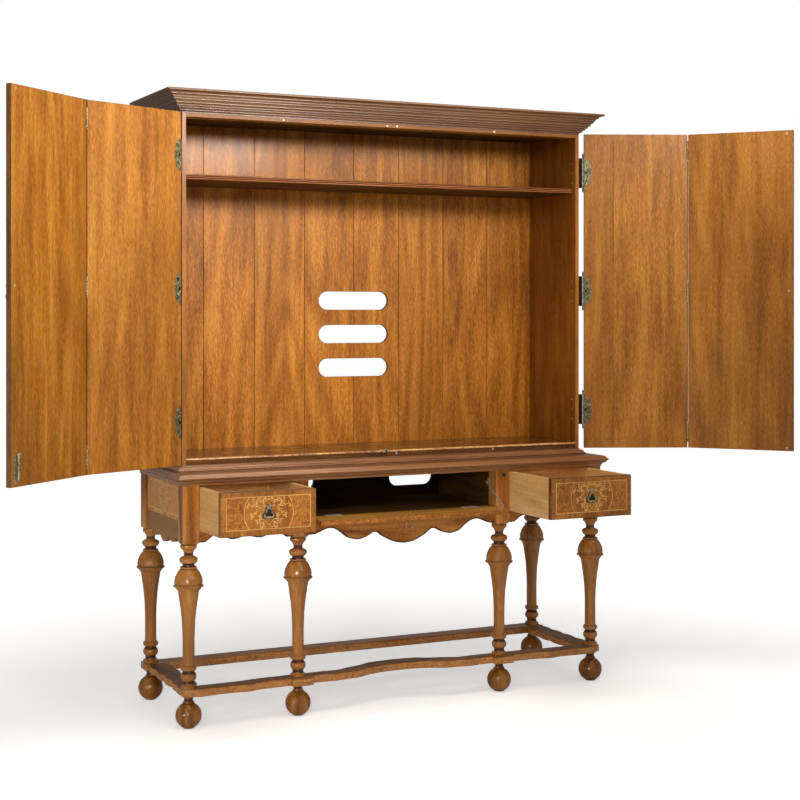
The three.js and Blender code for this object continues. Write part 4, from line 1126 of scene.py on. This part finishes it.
def add_flap_mounts(work, at):
    """The stay's bracket and pivot, and the plate and staple of the ring."""
    low, high = at.z0, at.z1
    y = STAY["pivot"]
    z = high + STAY["rise"]
    near, far = y - BRACKET["half"], y + BRACKET["half"]
    inner, outer = BRACKET["inner"], BRACKET["outer"]
    box(work, (inner, near, high - 0.5), (outer, far, high + 16), "steel", 2, 0.4)
    box(work, (BRACKET["foot"], near, high - 0.3), (outer, far, high + 1.2), "steel", 1, 0.4)
    tube(work, [(inner + 0.3, y, z), (BRACKET["pivot"], y, z)], 2.2, "steel", 12)
    pin = at.y1 - FLAP_RING_FROM_REAR
    plate(work, arc((0, pin), 12, 0, 350, 20), low - 0.6, low + 0.5, "bronze", level, ease=0.2)
    staple = [(3.6, low + 0.5), (3.6, low - 5.6), (2.4, low - 6.8)]
    path = [(0, pin - y, z) for y, z in staple] + [(0, pin + y, z) for y, z in staple[::-1]]
    tube(work, path, 0.8, "brass", 8)


def make_flap():
    at = Span("flap")
    low, high = at.z0, at.z1
    work = Work()
    box(work, (at.x0, at.y0 + 1, low + 1), (at.x1, at.y1, high - 0.2), "inside", 0)
    width = (at.x1 - at.x0) / FLAP_BOARDS
    for index in range(FLAP_BOARDS):
        start = at.x0 + index * width
        box(work, (start, at.y0, low + 0.6), (start + width, at.y0 + 1.4, high - 0.4), "burr", 0, 0.1)
    box(work, (at.x0 + 0.3, at.y0 + 0.5, high - 0.8), (at.x1 - 0.3, at.y1 - 0.3, high), "lid", 0, 0.2)
    band = (at.x0 + 0.4, at.y0 + 0.4, low + 0.2), (at.x1 - 0.4, at.y1 - 0.4, low + 1.2)
    box(work, *band, "crossband", 1, 0.1)
    near = (at.x0 + FLAP_FIELD["sides"], at.y0 + FLAP_FIELD["near"])
    far = (at.x1 - FLAP_FIELD["sides"], at.y1 - FLAP_FIELD["far"])
    box(work, (*near, low + 0.1), (*far, low + 1.1), "burr", 0, 0.05)
    line_frame(work, near, far, STRING_WIDTH, low, low + 1.1, level)
    add_butt_leaves(work, at, -1)
    bolt = (FLAP_BOLT["x"], at.y0 + FLAP_BOLT["from_front"], high)
    screw(work, bolt, 3.2, "steel", level, 1, 1.4)
    add_flap_mounts(work, at)
    work.close("drop_front_board", "drop_front", "burr", ["flap"])
    pull = Span("flap_pull")
    work = Work()
    bail(work, FLAP_PULL, pull.x, pull.y, pull.z1 - FLAP_PULL["eye"], "brass")
    work.close("drop_front_ring", "drop_front_bail", "brass", ["flap_pull"])
    make_stay(at)


def make_stay(flap):
    at = Span("flap_stay")
    half = STAY["width"] / 2 - 0.5
    eye = STAY["eye"] - 0.6
    tip = STAY["length"]
    start = math.degrees(math.asin(half / eye))
    outline = arc((0, 0), eye, start, 360 - start, 22)
    outline += [(tip - 4, -half), (tip - 0.8, 0), (tip - 4, half)]
    hole = arc((0, 0), 2.6, 0, 340, 14)
    place = tipped(0, STAY["pivot"], flap.z1 + STAY["rise"], STAY["degrees"])
    work = Work()
    plate(work, outline, at.x0 + 0.4, at.x1 - 0.4, "steel", crosswise, 1, [hole], 0.3, place)
    work.close("flap_stay_arm", "stay", "brass", ["flap_stay"])


# Case

BOLT_X = -28.5
KEEP = {"half": 8.6, "depth": 14.6}
NOSE = 7
STRIKE = ((-14, 3), (-9, 3), (-9, 15.4), (9, 15.4), (9, 3), (14, 3), (14, 20), (-14, 20))
# Overhang and height
CORNICE_STEPS = (
    (0, 2), (8, 8), (16, 16), (23, 22.5), (31.5, 31), (39.8, 42), (45.5, 49), (53.8, 58.6), (63, 66.5),
)
CORNICE_CAP = ((71, 67.6), (72.2, 69), (73, 70), (73, 74.6), (72.4, 75.6), (71, 76))
CORNICE_DEPTH = 45
PLANK_EDGES = (-792.5, -612, -411, -206, 0, 194, 390, 590, 792.5)
CABLE_SLOT = {"length": 293.2, "height": 70, "pitch": 129.5, "lowest": 258}
REEDS = 3
LIPPING = 14
HINGE_SCREWS = {"y": 27, "shifts": (-38, 0, 38)}
SHELF_PINS_Y = (70, 325)
FLOOR_CATCHES_X = (17, 424)
RAIL_CATCHES_X = (-430, -20, 20, 430)
# Painted shade between the reeds, for each point of a reed's section
REED_SHADE = (1, 0.8, 0.3, 0, 0, 0, 0.3, 0.8, 1, 1, 1)


def make_walls(side):
    back = Span("back_panel").y0
    pins = Span("shelf").z0 + 2
    for name, sign in SIDES:
        inner, outer = sign * side.x0, sign * side.x1
        work = Work()
        box(work, (inner + sign, 3, side.z0), (outer, side.y1, side.z1), "walnut", ease=1)
        box(work, (inner, 3.4, side.z0 + 24), (inner + sign * 1.4, back, side.z1), "inside", ease=0.3)
        box(work, (inner, 0, side.z0), (outer, 3.6, side.z1), "rail", ease=1.2)
        hinges = [Span(f"{name}_case_hinge_{height}").z for height in HEIGHTS]
        spots = [hinge + shift for hinge in hinges for shift in HINGE_SCREWS["shifts"]]
        heads = [(HINGE_SCREWS["y"], spot, 2.2, 2) for spot in spots]
        heads += [(y, pins, 3.2, 5) for y in SHELF_PINS_Y]
        for y, z, radius, rise in heads:
            screw(work, (y, z, inner), radius, "steel", crosswise, -sign, rise)
        work.close("case_wall_" + name, "carcase", "walnut", ["case_side_" + name])


def make_floor():
    """The case floor with its rounded front edge and a painted highlight along it, and the strike of the
    door's bolt.
    """
    at = Span("case_floor")
    nose = (NOSE, at.z1 - NOSE)
    section = [(at.y1, at.z0), (at.y1, at.z1)] + arc(nose, NOSE - 0.1, 90, 180, 8) + [(0.1, at.z0)]
    # A thin light shell over the upper part of the rounded front edge paints a flecked highlight along it
    nosing = arc(nose, NOSE, 100, 172, 6) + arc(nose, NOSE - 1, 172, 100, 6)
    left, right = BOLT_X - KEEP["half"], BOLT_X + KEEP["half"]
    top = at.z1 + 0.8
    work = Work()
    for ends in ((at.x0, left), (right, at.x1)):
        for shape, finish in ((section, "polished"), (nosing, "nosing")):
            loft(work, [[(x, y, z) for y, z in shape] for x in ends], finish, 0)
    box(work, (left, KEEP["depth"], at.z0), (right, at.y1, at.z1), "polished", 0, 0.2)
    plate(work, [(BOLT_X + u, y) for u, y in STRIKE], at.z1 - 0.5, top, "brass", level, ease=0.3)
    for start, end in ((-14, -9), (9, 14)):
        box(work, (BOLT_X + start, 0.6, at.z1 - 8), (BOLT_X + end, 3.4, top), "steel", 0, 0.4)
    box(work, (left, 14.1, at.z1 - 9), (right, 15.6, top), "steel", 0, 0.3)
    for x in FLOOR_CATCHES_X:
        screw(work, (x, at.z0 + 11, 0), 4.2, "steel", rise=0.9)
    work.close("case_floor_board", "carcase", "panel", ["case_floor"])


def make_cornice(side):
    at = Span("cornice")
    low = side.z1
    depth = CORNICE_DEPTH
    half = side.x0
    inner = side.x1 - depth
    profile = [(0, 0)] + stepped(CORNICE_STEPS, 1.6) + list(CORNICE_CAP)
    work = Work()
    moulding(work, [(out, low + z) for out, z in profile], side.x1, 0, at.y1, "moulding", depth)
    box(work, (-inner, at.y1 - depth, low + 0.2), (inner, at.y1, at.z1), "moulding", 0)
    box(work, (-inner, depth - 0.2, low + 14), (inner, at.y1 - depth + 0.2, low + 26), "inside", 0)
    # The ceiling board takes a darker finish as painted shade
    box(work, (-half, 0.6, low - 0.6), (half, at.y1, low + 14.4), "ceiling", 0)
    box(work, (-half, 0, at.z0), (half, 60, low - 0.4), "lintel", 0, 1.2)
    for x in RAIL_CATCHES_X:
        screw(work, (x, low - 7.5, 0), 4.2, "steel", rise=0.9)
    work.close("moulded_cornice", "carcase", "moulding", ["cornice"])


def make_back():
    at = Span("back_panel")
    lowest = Span("case_floor").z1 + CABLE_SLOT["lowest"]
    radius = CABLE_SLOT["height"] / 2
    reach = CABLE_SLOT["length"] / 2 - radius
    work = Work()
    for left, right in zip(PLANK_EDGES, PLANK_EDGES[1:]):
        outline = rectangle(left, at.z0, right, at.z1)
        if 0 in (left, right):
            far = left + right
            outline = [(0, at.z0), (far, at.z0), (far, at.z1), (0, at.z1)]
            for row in (2, 1, 0):
                low = lowest + row * CABLE_SLOT["pitch"]
                curve = arc((reach, low + radius), radius, 90, -90, 12)
                bend = [(math.copysign(u, far), v) for u, v in curve]
                outline += [(0, low + CABLE_SLOT["height"])] + bend + [(0, low)]
        # Painted shade along the edges of each plank, where the planks meet
        plate(work, outline, at.y0, at.y1, "panel", upright, ease=1.8, glaze_and_shade_share=1)
    work.close("back_boards", "carcase", "panel", ["back_panel"])


def make_shelf():
    at = Span("shelf")
    reed = (at.z1 - at.z0) / REEDS
    rear = at.y0 + LIPPING
    work = Work()
    # The shelf's body takes a darker finish as painted shade on its underside
    box(work, (at.x0, rear, at.z0), (at.x1, at.y1, at.z1), "ceiling", 0, 0.3)
    for index in range(REEDS):
        low = at.z0 + index * reed
        section = rounded(at.y0 + 3, low + 0.25, low + reed - 0.25, -3) + [(rear, low + reed), (rear, low)]
        ends = [[(x, y, z) for y, z in section] for x in (at.x0, at.x1)]
        # The reeds are darkened where they meet by painted shade
        loft(work, ends, "reed", 0, glaze_and_shade=2 * REED_SHADE)
    work.close("reeded_shelf", "carcase", "panel", ["shelf"])


def make_case():
    side = Span("case_side_right")
    make_walls(side)
    make_floor()
    make_cornice(side)
    make_back()
    make_shelf()


# Doors

JOINTS = {joint["name"]: joint for joint in frame["joints"]}
LEAF = {"width": 405, "thick": 19, "edge": 4, "play": 3, "band": 42}
VENEER = 0.9
NOTCH = {"half": 38.5, "depth": 2.3, "layer": 3.6}
STAVE_SHARES = {
    ("left", "inner"): (0, 1), ("left", "outer"): (0, 0.2, 1),
    ("right", "inner"): (0, 0.285, 1), ("right", "outer"): (0, 1),
}
HINGE = {"reach": 31, "half": 58.5, "pin": 11, "leaf": 58, "screw_in": 9, "screw_up": 44}
KNUCKLES = 5
# Share of the reach, share of the half height, and radius
PIERCINGS = (
    (0.2, 0, 5.2), (0.42, 0.24, 3.8), (0.42, -0.24, 3.8), (0.3, 0.5, 3.4), (0.3, -0.5, 3.4),
    (0.66, 0.1, 2.6), (0.66, -0.1, 2.6), (0.2, 0.7, 2.2), (0.2, -0.7, 2.2),
)
# Start in shares of the reach and half height, heading, length and curl
RELIEF = (
    (0.1, 0.1, 60, 34, -200), (0.3, 0.36, 100, 26, 230), (0.55, 0.16, 95, 22, 220),
    (0.12, 0.62, 50, 18, -180),
)
FINIAL = ((0, 2.2), (3, 3.3), (5, 1.9), (9, 3.4), (14, 2.4), (17, 1.2), (19, 0.6))
FOLD = {"half": 35, "radius": 3, "leaf": 34, "shade_strip_gap": 40}
FOLD_TIP = ((0, 2), (1, 2.8), (2.5, 1.6), (3, 0.8))
PULL = {"inset": 17, "out": 6.5, "boss": 7}
PULL_CAP = ((-0.2, 3.6), (0.7, 4.4), (1.4, 3.6), (1.9, 1.4))
PULL_BOSS = (
    (19.2, 9), (20, 9.6), (21, 8), (22, 5), (23.4, 3.4), (26, 3), (28, 4.2), (30, 3.4), (31, 1),
)
PULL_DROP = ((-36, 1.2), (-35.3, 2.2), (-32.4, 5), (-26, 6.2), (-15, 4.3), (-5.4, 2.5), (-1, 2.2), (0, 1.4))
BOLT = {"inset": 27, "y": 8.3, "length": 46, "keeper": 5.6}
BOLT_HANDLE = (
    (0, 4), (2, 5), (4, 3.4), (10, 3.2), (18, 4.2), (24, 5.8), (28, 7.6), (30.5, 8), (32, 7.4), (33, 6.4),
)


def door_places(name, sign):
    """The frames of the inner and the outer leaf, in which the closed door lies along X."""
    places = []
    turn = 0
    for joint, way in ((JOINTS[name + "_door_swing"], sign), (JOINTS[name + "_door_fold"], -sign)):
        turn += way * abs(joint["range_deg"][0])
        places.append(tipped(joint["pos_m"][0], joint["pos_m"][1], 0, turn, "Z"))
    return places


def notched(left, right, notch_at, low, high, spots):
    """An upright rectangle with hinge notches in one of its edges."""
    if notch_at is None:
        return rectangle(left, low, right, high)
    floor = notch_at + (NOTCH["depth"] if notch_at == left else -NOTCH["depth"])
    edge = [(notch_at, low)]
    for spot in sorted(spots):
        bottom, top = spot - NOTCH["half"], spot + NOTCH["half"]
        edge += [(notch_at, bottom), (floor, bottom), (floor, top), (notch_at, top)]
    other = left if notch_at == right else right
    return edge + [(notch_at, high), (other, high), (other, low)]


def make_leaf(name, which, near, far, inside, at, spots):
    """One door leaf: a core, plain staves inside, and banded veneer outside."""
    low, high = at.z0, at.z1
    fold_edge = far if which == "inner" else near
    outside = inside - LEAF["thick"]
    core_top = inside - VENEER
    notch_floor = inside - NOTCH["layer"]
    left, right = sorted((near, far))
    work = Work()
    box(work, (left, outside + 0.8, low), (right, notch_floor, high), "edge", 2, 0.6)
    shape = notched(left, right, fold_edge, low, high, spots)
    plate(work, shape, notch_floor - 0.5, core_top, "edge", upright, ease=0.3)
    edges = [near + (far - near) * share for share in STAVE_SHARES[(name, which)]]
    for ends in zip(edges, edges[1:]):
        shape = notched(*sorted(ends), fold_edge if fold_edge in ends else None, low, high, spots)
        # Painted shade along the edges of each stave
        plate(work, shape, core_top - 0.2, inside, "leaf", upright, ease=0.7, glaze_and_shade_share=0.8)
    skin = outside + 1
    bottom, top = low + LEAF["band"], high - LEAF["band"]
    a, b, c, d = left + 0.4, left + LEAF["band"], right - LEAF["band"], right - 0.4
    low += 0.4
    high -= 0.4
    middle = (b + c) / 2
    for x0, z0, x1, z1, finish, along, ease in (
        (a, low, b, high, "crossband", 0, 0.1), (c, low, d, high, "crossband", 0, 0.1),
        (b, low, c, bottom, "crossband", 2, 0.1), (b, top, c, high, "crossband", 2, 0.1),
        (b, bottom, middle, top, "leaf", 2, 0.05), (middle, bottom, c, top, "leaf", 2, 0.05),
    ):
        box(work, (x0, outside + 0.1, z0), (x1, skin, z1), finish, along, ease)
    line_frame(work, (b, bottom), (c, top), 3, outside, skin, upright)
    return work


def pierced_plate(work, edge_at, toward, z, low, high, axes):
    """A half of a hinge, oval with a scalloped edge, with a darker plate under its holes that paints the
    shade in them.
    """
    reach, half = HINGE["reach"], HINGE["half"]
    outline = []
    for step in range(41):
        angle = math.pi * (step / 40 - 0.5)
        share = 1 - 0.07 * abs(math.sin(4.5 * angle))
        across, up = reach * share * math.cos(angle), half * share * math.sin(angle)
        outline.append((edge_at + toward * across, z + up))
    holes = [
        oval((edge_at + toward * across * reach, z + up * half), radius,
             radius * (1.5 if across < 0.6 else 1), 12)
        for across, up, radius in PIERCINGS
    ]
    plate(work, outline, low, high, "plate", axes, holes=holes, ease=0.2)
    # A dark plate inside the pierced one, seen only through the holes, paints the shade in them
    plate(work, inset(wound(outline), 0.5), low + 0.3, high - 0.3, "bronze", axes, ease=0.1)


def relief(work, edge_at, toward, z, face):
    """Raised stems cast on a hinge plate."""
    for flip in (-1, 1):
        for across, up, heading, length, curl in RELIEF:
            path = scroll((across * HINGE["reach"], up * HINGE["half"]), heading, length, curl)[::2]
            points = [
                upright(edge_at + toward * u, z + flip * v, face + 0.1) for u, v in path
                if u > 1 and math.hypot(u / 29, v / 55) < 1
            ]
            if len(points) > 3:
                tube(work, points, 0.9, "brass", 6)


def barrel(work, x, y, z, half, radius, finish, tip, tip_finish, sides, neck):
    """The knuckles of a hinge about an upright pin, with a finial at each end."""
    long = 2 * half / KNUCKLES
    for index in range(KNUCKLES):
        ends = ((0.3, radius - 0.4), (neck, radius), (long - neck, radius), (long - 0.3, radius - 0.4))
        lathe(work, lifted(ends, z - half + index * long), finish, x, y, sides)
    for sign in (-1, 1):
        profile = sorted((z + sign * (half + rise), r) for rise, r in tip)
        lathe(work, profile, tip_finish, x, y, sides, glaze_and_shade_share=0)


def make_case_hinge(name, sign, height):
    node = f"{name}_case_hinge_{height}"
    at = Span(node)
    low, high = at.z - HINGE["half"], at.z + HINGE["half"]
    face = Span("case_side_right").x1 * sign
    pin_x = face + sign * HINGE["pin"]
    pin_y = at.y0 + 3.5
    work = Work()
    pierced_plate(work, 0, 1, at.z, *sorted((face, face + sign * 1.6)), crosswise)
    box(work, (face, 0, low), (pin_x + sign * 1.2, 2.2, high), "bronze", 2, 0.4)
    box(work, (pin_x - 1.2, pin_y, low), (pin_x + 1.2, 2.2, high), "bronze", 2, 0.4)
    barrel(work, pin_x, pin_y, at.z, HINGE["half"], 3.5, "steel", FINIAL, "bronze", 16, 1)
    work.close(f"{name}_hinge_{height}", "carcase", "brass", [node])


def make_inner_leaf(name, toward, place, at, folds):
    near = toward * LEAF["edge"]
    far = near + toward * LEAF["width"]
    inside = LEAF["thick"] / 2
    face = inside + 0.9
    work = make_leaf(name, "inner", near, far, inside, at, folds)
    for height in HEIGHTS:
        z = Span(f"{name}_case_hinge_{height}").z
        pierced_plate(work, near, toward, z, inside - 0.4, face, upright)
        relief(work, near, toward, z, face)
        low, high = z - HINGE["leaf"], z + HINGE["leaf"]
        box(work, (near - toward * 3.4, -1, low), (near + toward * 0.8, 1, high), "bronze", 2, 0.3)
        for head in (z - HINGE["screw_up"], z + HINGE["screw_up"]):
            screw(work, (near + toward * HINGE["screw_in"], head, face), 2.4, outward=1)
    for z in folds:
        low, high = z - FOLD["leaf"], z + FOLD["leaf"]
        box(work, (far - toward * 3, -6, low), (far + toward * 0.4, inside - 3.8, high), "brass", 2, 0.2)
    # A dark strip at the free edge, between the fold hinges, paints the shade in the gap between the leaves
    ordered = sorted(folds)
    for start, end in zip(ordered, ordered[1:]):
        low, high = start + FOLD["shade_strip_gap"], end - FOLD["shade_strip_gap"]
        box(work, (far - toward, 5, low), (far + toward * 2.6, 8.6, high), "dark", 2, 0.3)
    work.close(name + "_inner_leaf_board", name + "_inner_leaf", "walnut", [name + "_door_inner"], place)


def add_pull_mount(work, x, z):
    """The cap inside and the boss, eye and escutcheon outside of a leaf's drop pull."""
    eye = -LEAF["thick"] - PULL["out"]
    boss = z + PULL["boss"]
    lathe(work, PULL_CAP, "steel", sides=18, glaze_and_shade_share=0, place=tipped(x, -0.2, boss, -90))
    lathe(work, PULL_BOSS, "brass", sides=20, glaze_and_shade_share=0.4, place=tipped(x, 0, boss, 90))
    tube(work, [(x, eye, z + 5), (x, eye, z - 0.5)], 1.4, "brass")
    turns = [math.tau * step / 32 for step in range(32)]
    escutcheon = [
        (x + 11 * math.sin(turn) * (1 + 0.25 * math.cos(3 * turn)), z - 32 + 44 * math.cos(turn))
        for turn in turns
    ]
    back = -LEAF["thick"]
    plate(work, escutcheon, back - 0.25, back + 0.3, "bronze", upright, ease=0.1)


def add_bolt_plate(work, x, low):
    """The plate and two keepers that hold the sliding bolt on the leaf."""
    head = arc((x, low + 86), 14, 10, 170, 10)
    corners = [(x - 14, low + 16), (x + 14, low + 16), (x + 14, low + 86)] + head + [(x - 14, low + 86)]
    plate(work, corners, -0.3, 1.4, "brass", upright, ease=0.4)
    bend = arc((x, BOLT["y"]), BOLT["keeper"], 180, 0, 12)
    for z in (low + 34, low + 58):
        path = [(u, v, z) for u, v in [(x - 6.4, 1)] + bend + [(x + 6.4, 1)]]
        tube(work, path, 1.1, "brass", 8)
    for u, v in ((-9, 22), (9, 22), (-9, 82), (9, 82)):
        screw(work, (x + u, low + v, 1.4), 2.4, "steel", outward=1, rise=0.3)


def make_outer_leaf(name, toward, place, at, folds):
    near = toward * LEAF["play"] / 2
    far = near + toward * LEAF["width"]
    body = name + "_outer_leaf"
    pull_x = far - toward * PULL["inset"]
    pull_z = Span(name + "_door_pull").z1
    work = make_leaf(name, "outer", near, far, 0, at, folds)
    add_pull_mount(work, pull_x, pull_z)
    for z in folds:
        low, high = z - FOLD["leaf"], z + FOLD["leaf"]
        box(work, (near + toward * 3, -15.5, low), (near - toward * 0.4, -3.8, high), "brass", 2, 0.2)
    for z in (at.z1 - 12, at.z0 + 12):
        screw(work, (far - toward * 24, z, 0), 4, "steel", outward=1, rise=0.5)
    if name == "left":
        add_bolt_plate(work, far - toward * BOLT["inset"], at.z0)
    work.close(name + "_outer_leaf_board", body, "walnut", [name + "_door_outer"], place)
    for height, z in zip(HEIGHTS, folds):
        work = Work()
        barrel(work, 0, 0, z, FOLD["half"], FOLD["radius"], "brass", FOLD_TIP, "brass", 14, 0.9)
        node = f"{name}_fold_hinge_{height}"
        work.close(f"{name}_fold_barrel_{height}", body, "brass", [node], place)
    work = Work()
    at_eye = Matrix.Translation((pull_x, -LEAF["thick"] - PULL["out"], pull_z))
    lathe(work, spline(PULL_DROP, 4), "bronze", sides=20, glaze_and_shade_share=0, place=at_eye)
    work.close(name + "_drop_pull", name + "_pull", "brass", [name + "_door_pull"], place)


def make_doors():
    for name, sign in SIDES:
        inner_place, outer_place = door_places(name, sign)
        at = Span(name + "_door_inner")
        folds = [Span(f"{name}_fold_hinge_{height}").z for height in HEIGHTS]
        make_inner_leaf(name, -sign, inner_place, at, folds)
        make_outer_leaf(name, -sign, outer_place, at, folds)
        for height in HEIGHTS:
            make_case_hinge(name, sign, height)
    make_bolt()


def make_bolt():
    length = BOLT["length"]
    x = LEAF["play"] / 2 + LEAF["width"] - BOLT["inset"]
    rod = [(0, 2.6), (1.4, 3.7), (length - 1, 3.9), (length, 3.9)]
    handle = spline(lifted(BOLT_HANDLE, length), 3)
    place = Matrix.Translation((x, BOLT["y"], Span("door_bolt").z0))
    work = Work()
    lathe(work, rod + handle[1:], "brass", sides=24, glaze_and_shade_share=0.6, place=place)
    work.close("sliding_bolt", "bolt", "brass", ["door_bolt"], door_places("left", -1)[1])


# Fittings on the stand

KNOB_AT = {"right": 2.9, "down": 16.2}
# The stay's guide on the wall, in depth and above the drop front
GUIDE_PLATE = {"near": -60, "middle": -52, "far": -44, "low": 78, "pin": 88, "high": 100}
GUIDE_SCREWS = (82, 96)
KNOB = ((-1, 5), (1, 5.4), (2.4, 4), (4, 4.4), (6, 6.2), (8.4, 6.4), (10.4, 5), (11.6, 2))


def make_fittings():
    """The knob on a post, the rear leaves of the flap hinges and the stay's wall bracket."""
    leg = post("front_mid_right")
    flap = Span("flap")
    wall = leg.x0
    top = flap.z1
    work = Work()
    place = tipped(leg.x + KNOB_AT["right"], leg.y0, leg.z1 - KNOB_AT["down"], 90)
    lathe(work, KNOB, "bronze", sides=24, glaze_and_shade_share=0, place=place)
    add_butt_leaves(work, flap, 1)
    near, y, far, low, pin, high = GUIDE_PLATE.values()
    box(work, (wall - 1.4, near, top + low), (wall + 0.4, far, top + high), "steel", 2, 0.4)
    tube(work, [(wall, y, top + pin), (wall - 3, y, top + pin)], 2.6, "steel", 12)
    for z in GUIDE_SCREWS:
        screw(work, (y, top + z, wall - 1.4), 1.8, axes=crosswise)
    work.close("stand_fittings", "carcase", "brass")


make_legs()
make_stretchers()
make_aprons()
make_side_panels()
make_stand_top()
make_stand_inside()
make_drawers()
make_flap()
make_case()
make_doors()
make_fittings()

# Floor, lights and camera

PAPER = (0.86, 0.86, 0.86, 1)
PAPER_GLOW = (0.48, 0.78)
PAPER_FADE = (1.1, 2.8)
PAPER_HALF = 60
AMBIENT = ((1, 0.985, 0.96, 1), 0.25)
WHITE = ((1, 1, 1, 1), 1.0)
WARM = (1, 0.97, 0.93)
# Place, aim, size, power and spread in degrees
LAMPS = {
    "front": ((0.3, -3.4, 2.5), (0, 0, 2.2), (1.2, 0.5), 6.2, 180),
    "left": ((-1.7, -2.1, 2.5), (-1, 0, 2.6), (1, 0.4), 6.4, 100),
    "right": ((1.2, -2.1, 2.5), (1, 0, 2.6), (1, 0.4), 8.2, 100),
    "inner": ((0.3, -2.4, 2.45), (-0.9, 0.35, 2.1), (0.8, 0.5), 10.5, 72),
    "top": ((0, -1, 4.4), (0, -0.99, 0), (2.6, 1.8), 79, 180),
    "legs": ((-2.6, -3.6, 1.5), (-0.2, 0, 0.35), (0.4, 0.4), 3.2, 46),
    "flank": ((-3.2, -1.6, 0.6), (-0.85, 0.2, 0.65), (0.5, 0.5), 1.6, 50),
}
# The camera's focal length and horizon are in pixels of the photo.
PIXELS = 800
FOCAL = 1580.586
HORIZON = 310.187
EYE = (-2.4882, -5.2236, 1.4280)
TURN = -0.44921


def put(name, data):
    """A new object in the scene."""
    item = bpy.data.objects.new(name, data)
    bpy.context.scene.collection.objects.link(item)
    return item


def make_floor_sheet():
    mesh = bpy.data.meshes.new("studio_floor")
    corners = rectangle(-PAPER_HALF, -PAPER_HALF, PAPER_HALF, PAPER_HALF)
    mesh.from_pydata([(x, y, 0) for x, y in corners], [], [(0, 1, 2, 3)])
    floor = put("studio_floor", mesh)
    graph = Graph("studio_floor")
    seen = graph.node("LightPath")
    shown = graph.math("ADD", seen.outputs["Is Camera Ray"], seen.outputs["Is Transmission Ray"])
    place = graph.node("NewGeometry").outputs["Position"]
    away = graph.node("VectorMath", {0: place}, operation="LENGTH").outputs["Value"]
    glow = graph.range(away, *PAPER_FADE, *PAPER_GLOW)
    graph.feed(graph.shader, {
        "Base Color": PAPER, "Roughness": 0.9, "Specular IOR Level": 0.0,
        "Emission Color": (1, 1, 1, 1),
        "Emission Strength": graph.math("MULTIPLY", graph.math("MINIMUM", shown, 1.0), glow),
    })
    mesh.materials.append(graph.material)


def make_world():
    world = bpy.data.worlds.new("studio")
    world.use_nodes = True
    nodes = world.node_tree.nodes
    links = world.node_tree.links
    nodes.clear()
    output = nodes.new("ShaderNodeOutputWorld")
    mixer = nodes.new("ShaderNodeMixShader")
    for socket, (shade, strength) in enumerate((AMBIENT, WHITE), 1):
        glow = nodes.new("ShaderNodeBackground")
        glow.inputs["Color"].default_value = shade
        glow.inputs["Strength"].default_value = strength
        links.new(glow.outputs[0], mixer.inputs[socket])
    path = nodes.new("ShaderNodeLightPath")
    links.new(path.outputs["Is Camera Ray"], mixer.inputs["Fac"])
    links.new(mixer.outputs[0], output.inputs["Surface"])
    bpy.context.scene.world = world


def area_light(name, at, aim, size, power, spread):
    data = bpy.data.lights.new(name, "AREA")
    data.shape = "RECTANGLE"
    data.size, data.size_y = size
    data.energy = power
    data.color = WARM
    data.spread = math.radians(spread)
    lamp = put(name, data)
    lamp.location = at
    lamp.rotation_euler = (Vector(aim) - Vector(at)).to_track_quat("-Z", "Y").to_euler()


def make_camera():
    data = bpy.data.cameras.new("camera")
    data.sensor_width = 36
    data.lens = FOCAL / PIXELS * data.sensor_width
    data.shift_y = (HORIZON - PIXELS / 2) / PIXELS
    camera = put("camera", data)
    camera.location = EYE
    camera.rotation_euler = (math.pi / 2, 0, TURN)
    bpy.context.scene.camera = camera


make_floor_sheet()
make_world()
make_camera()
for lamp_name, settings in LAMPS.items():
    area_light(lamp_name, *settings)
bpy.context.scene.view_settings.view_transform = "Standard"
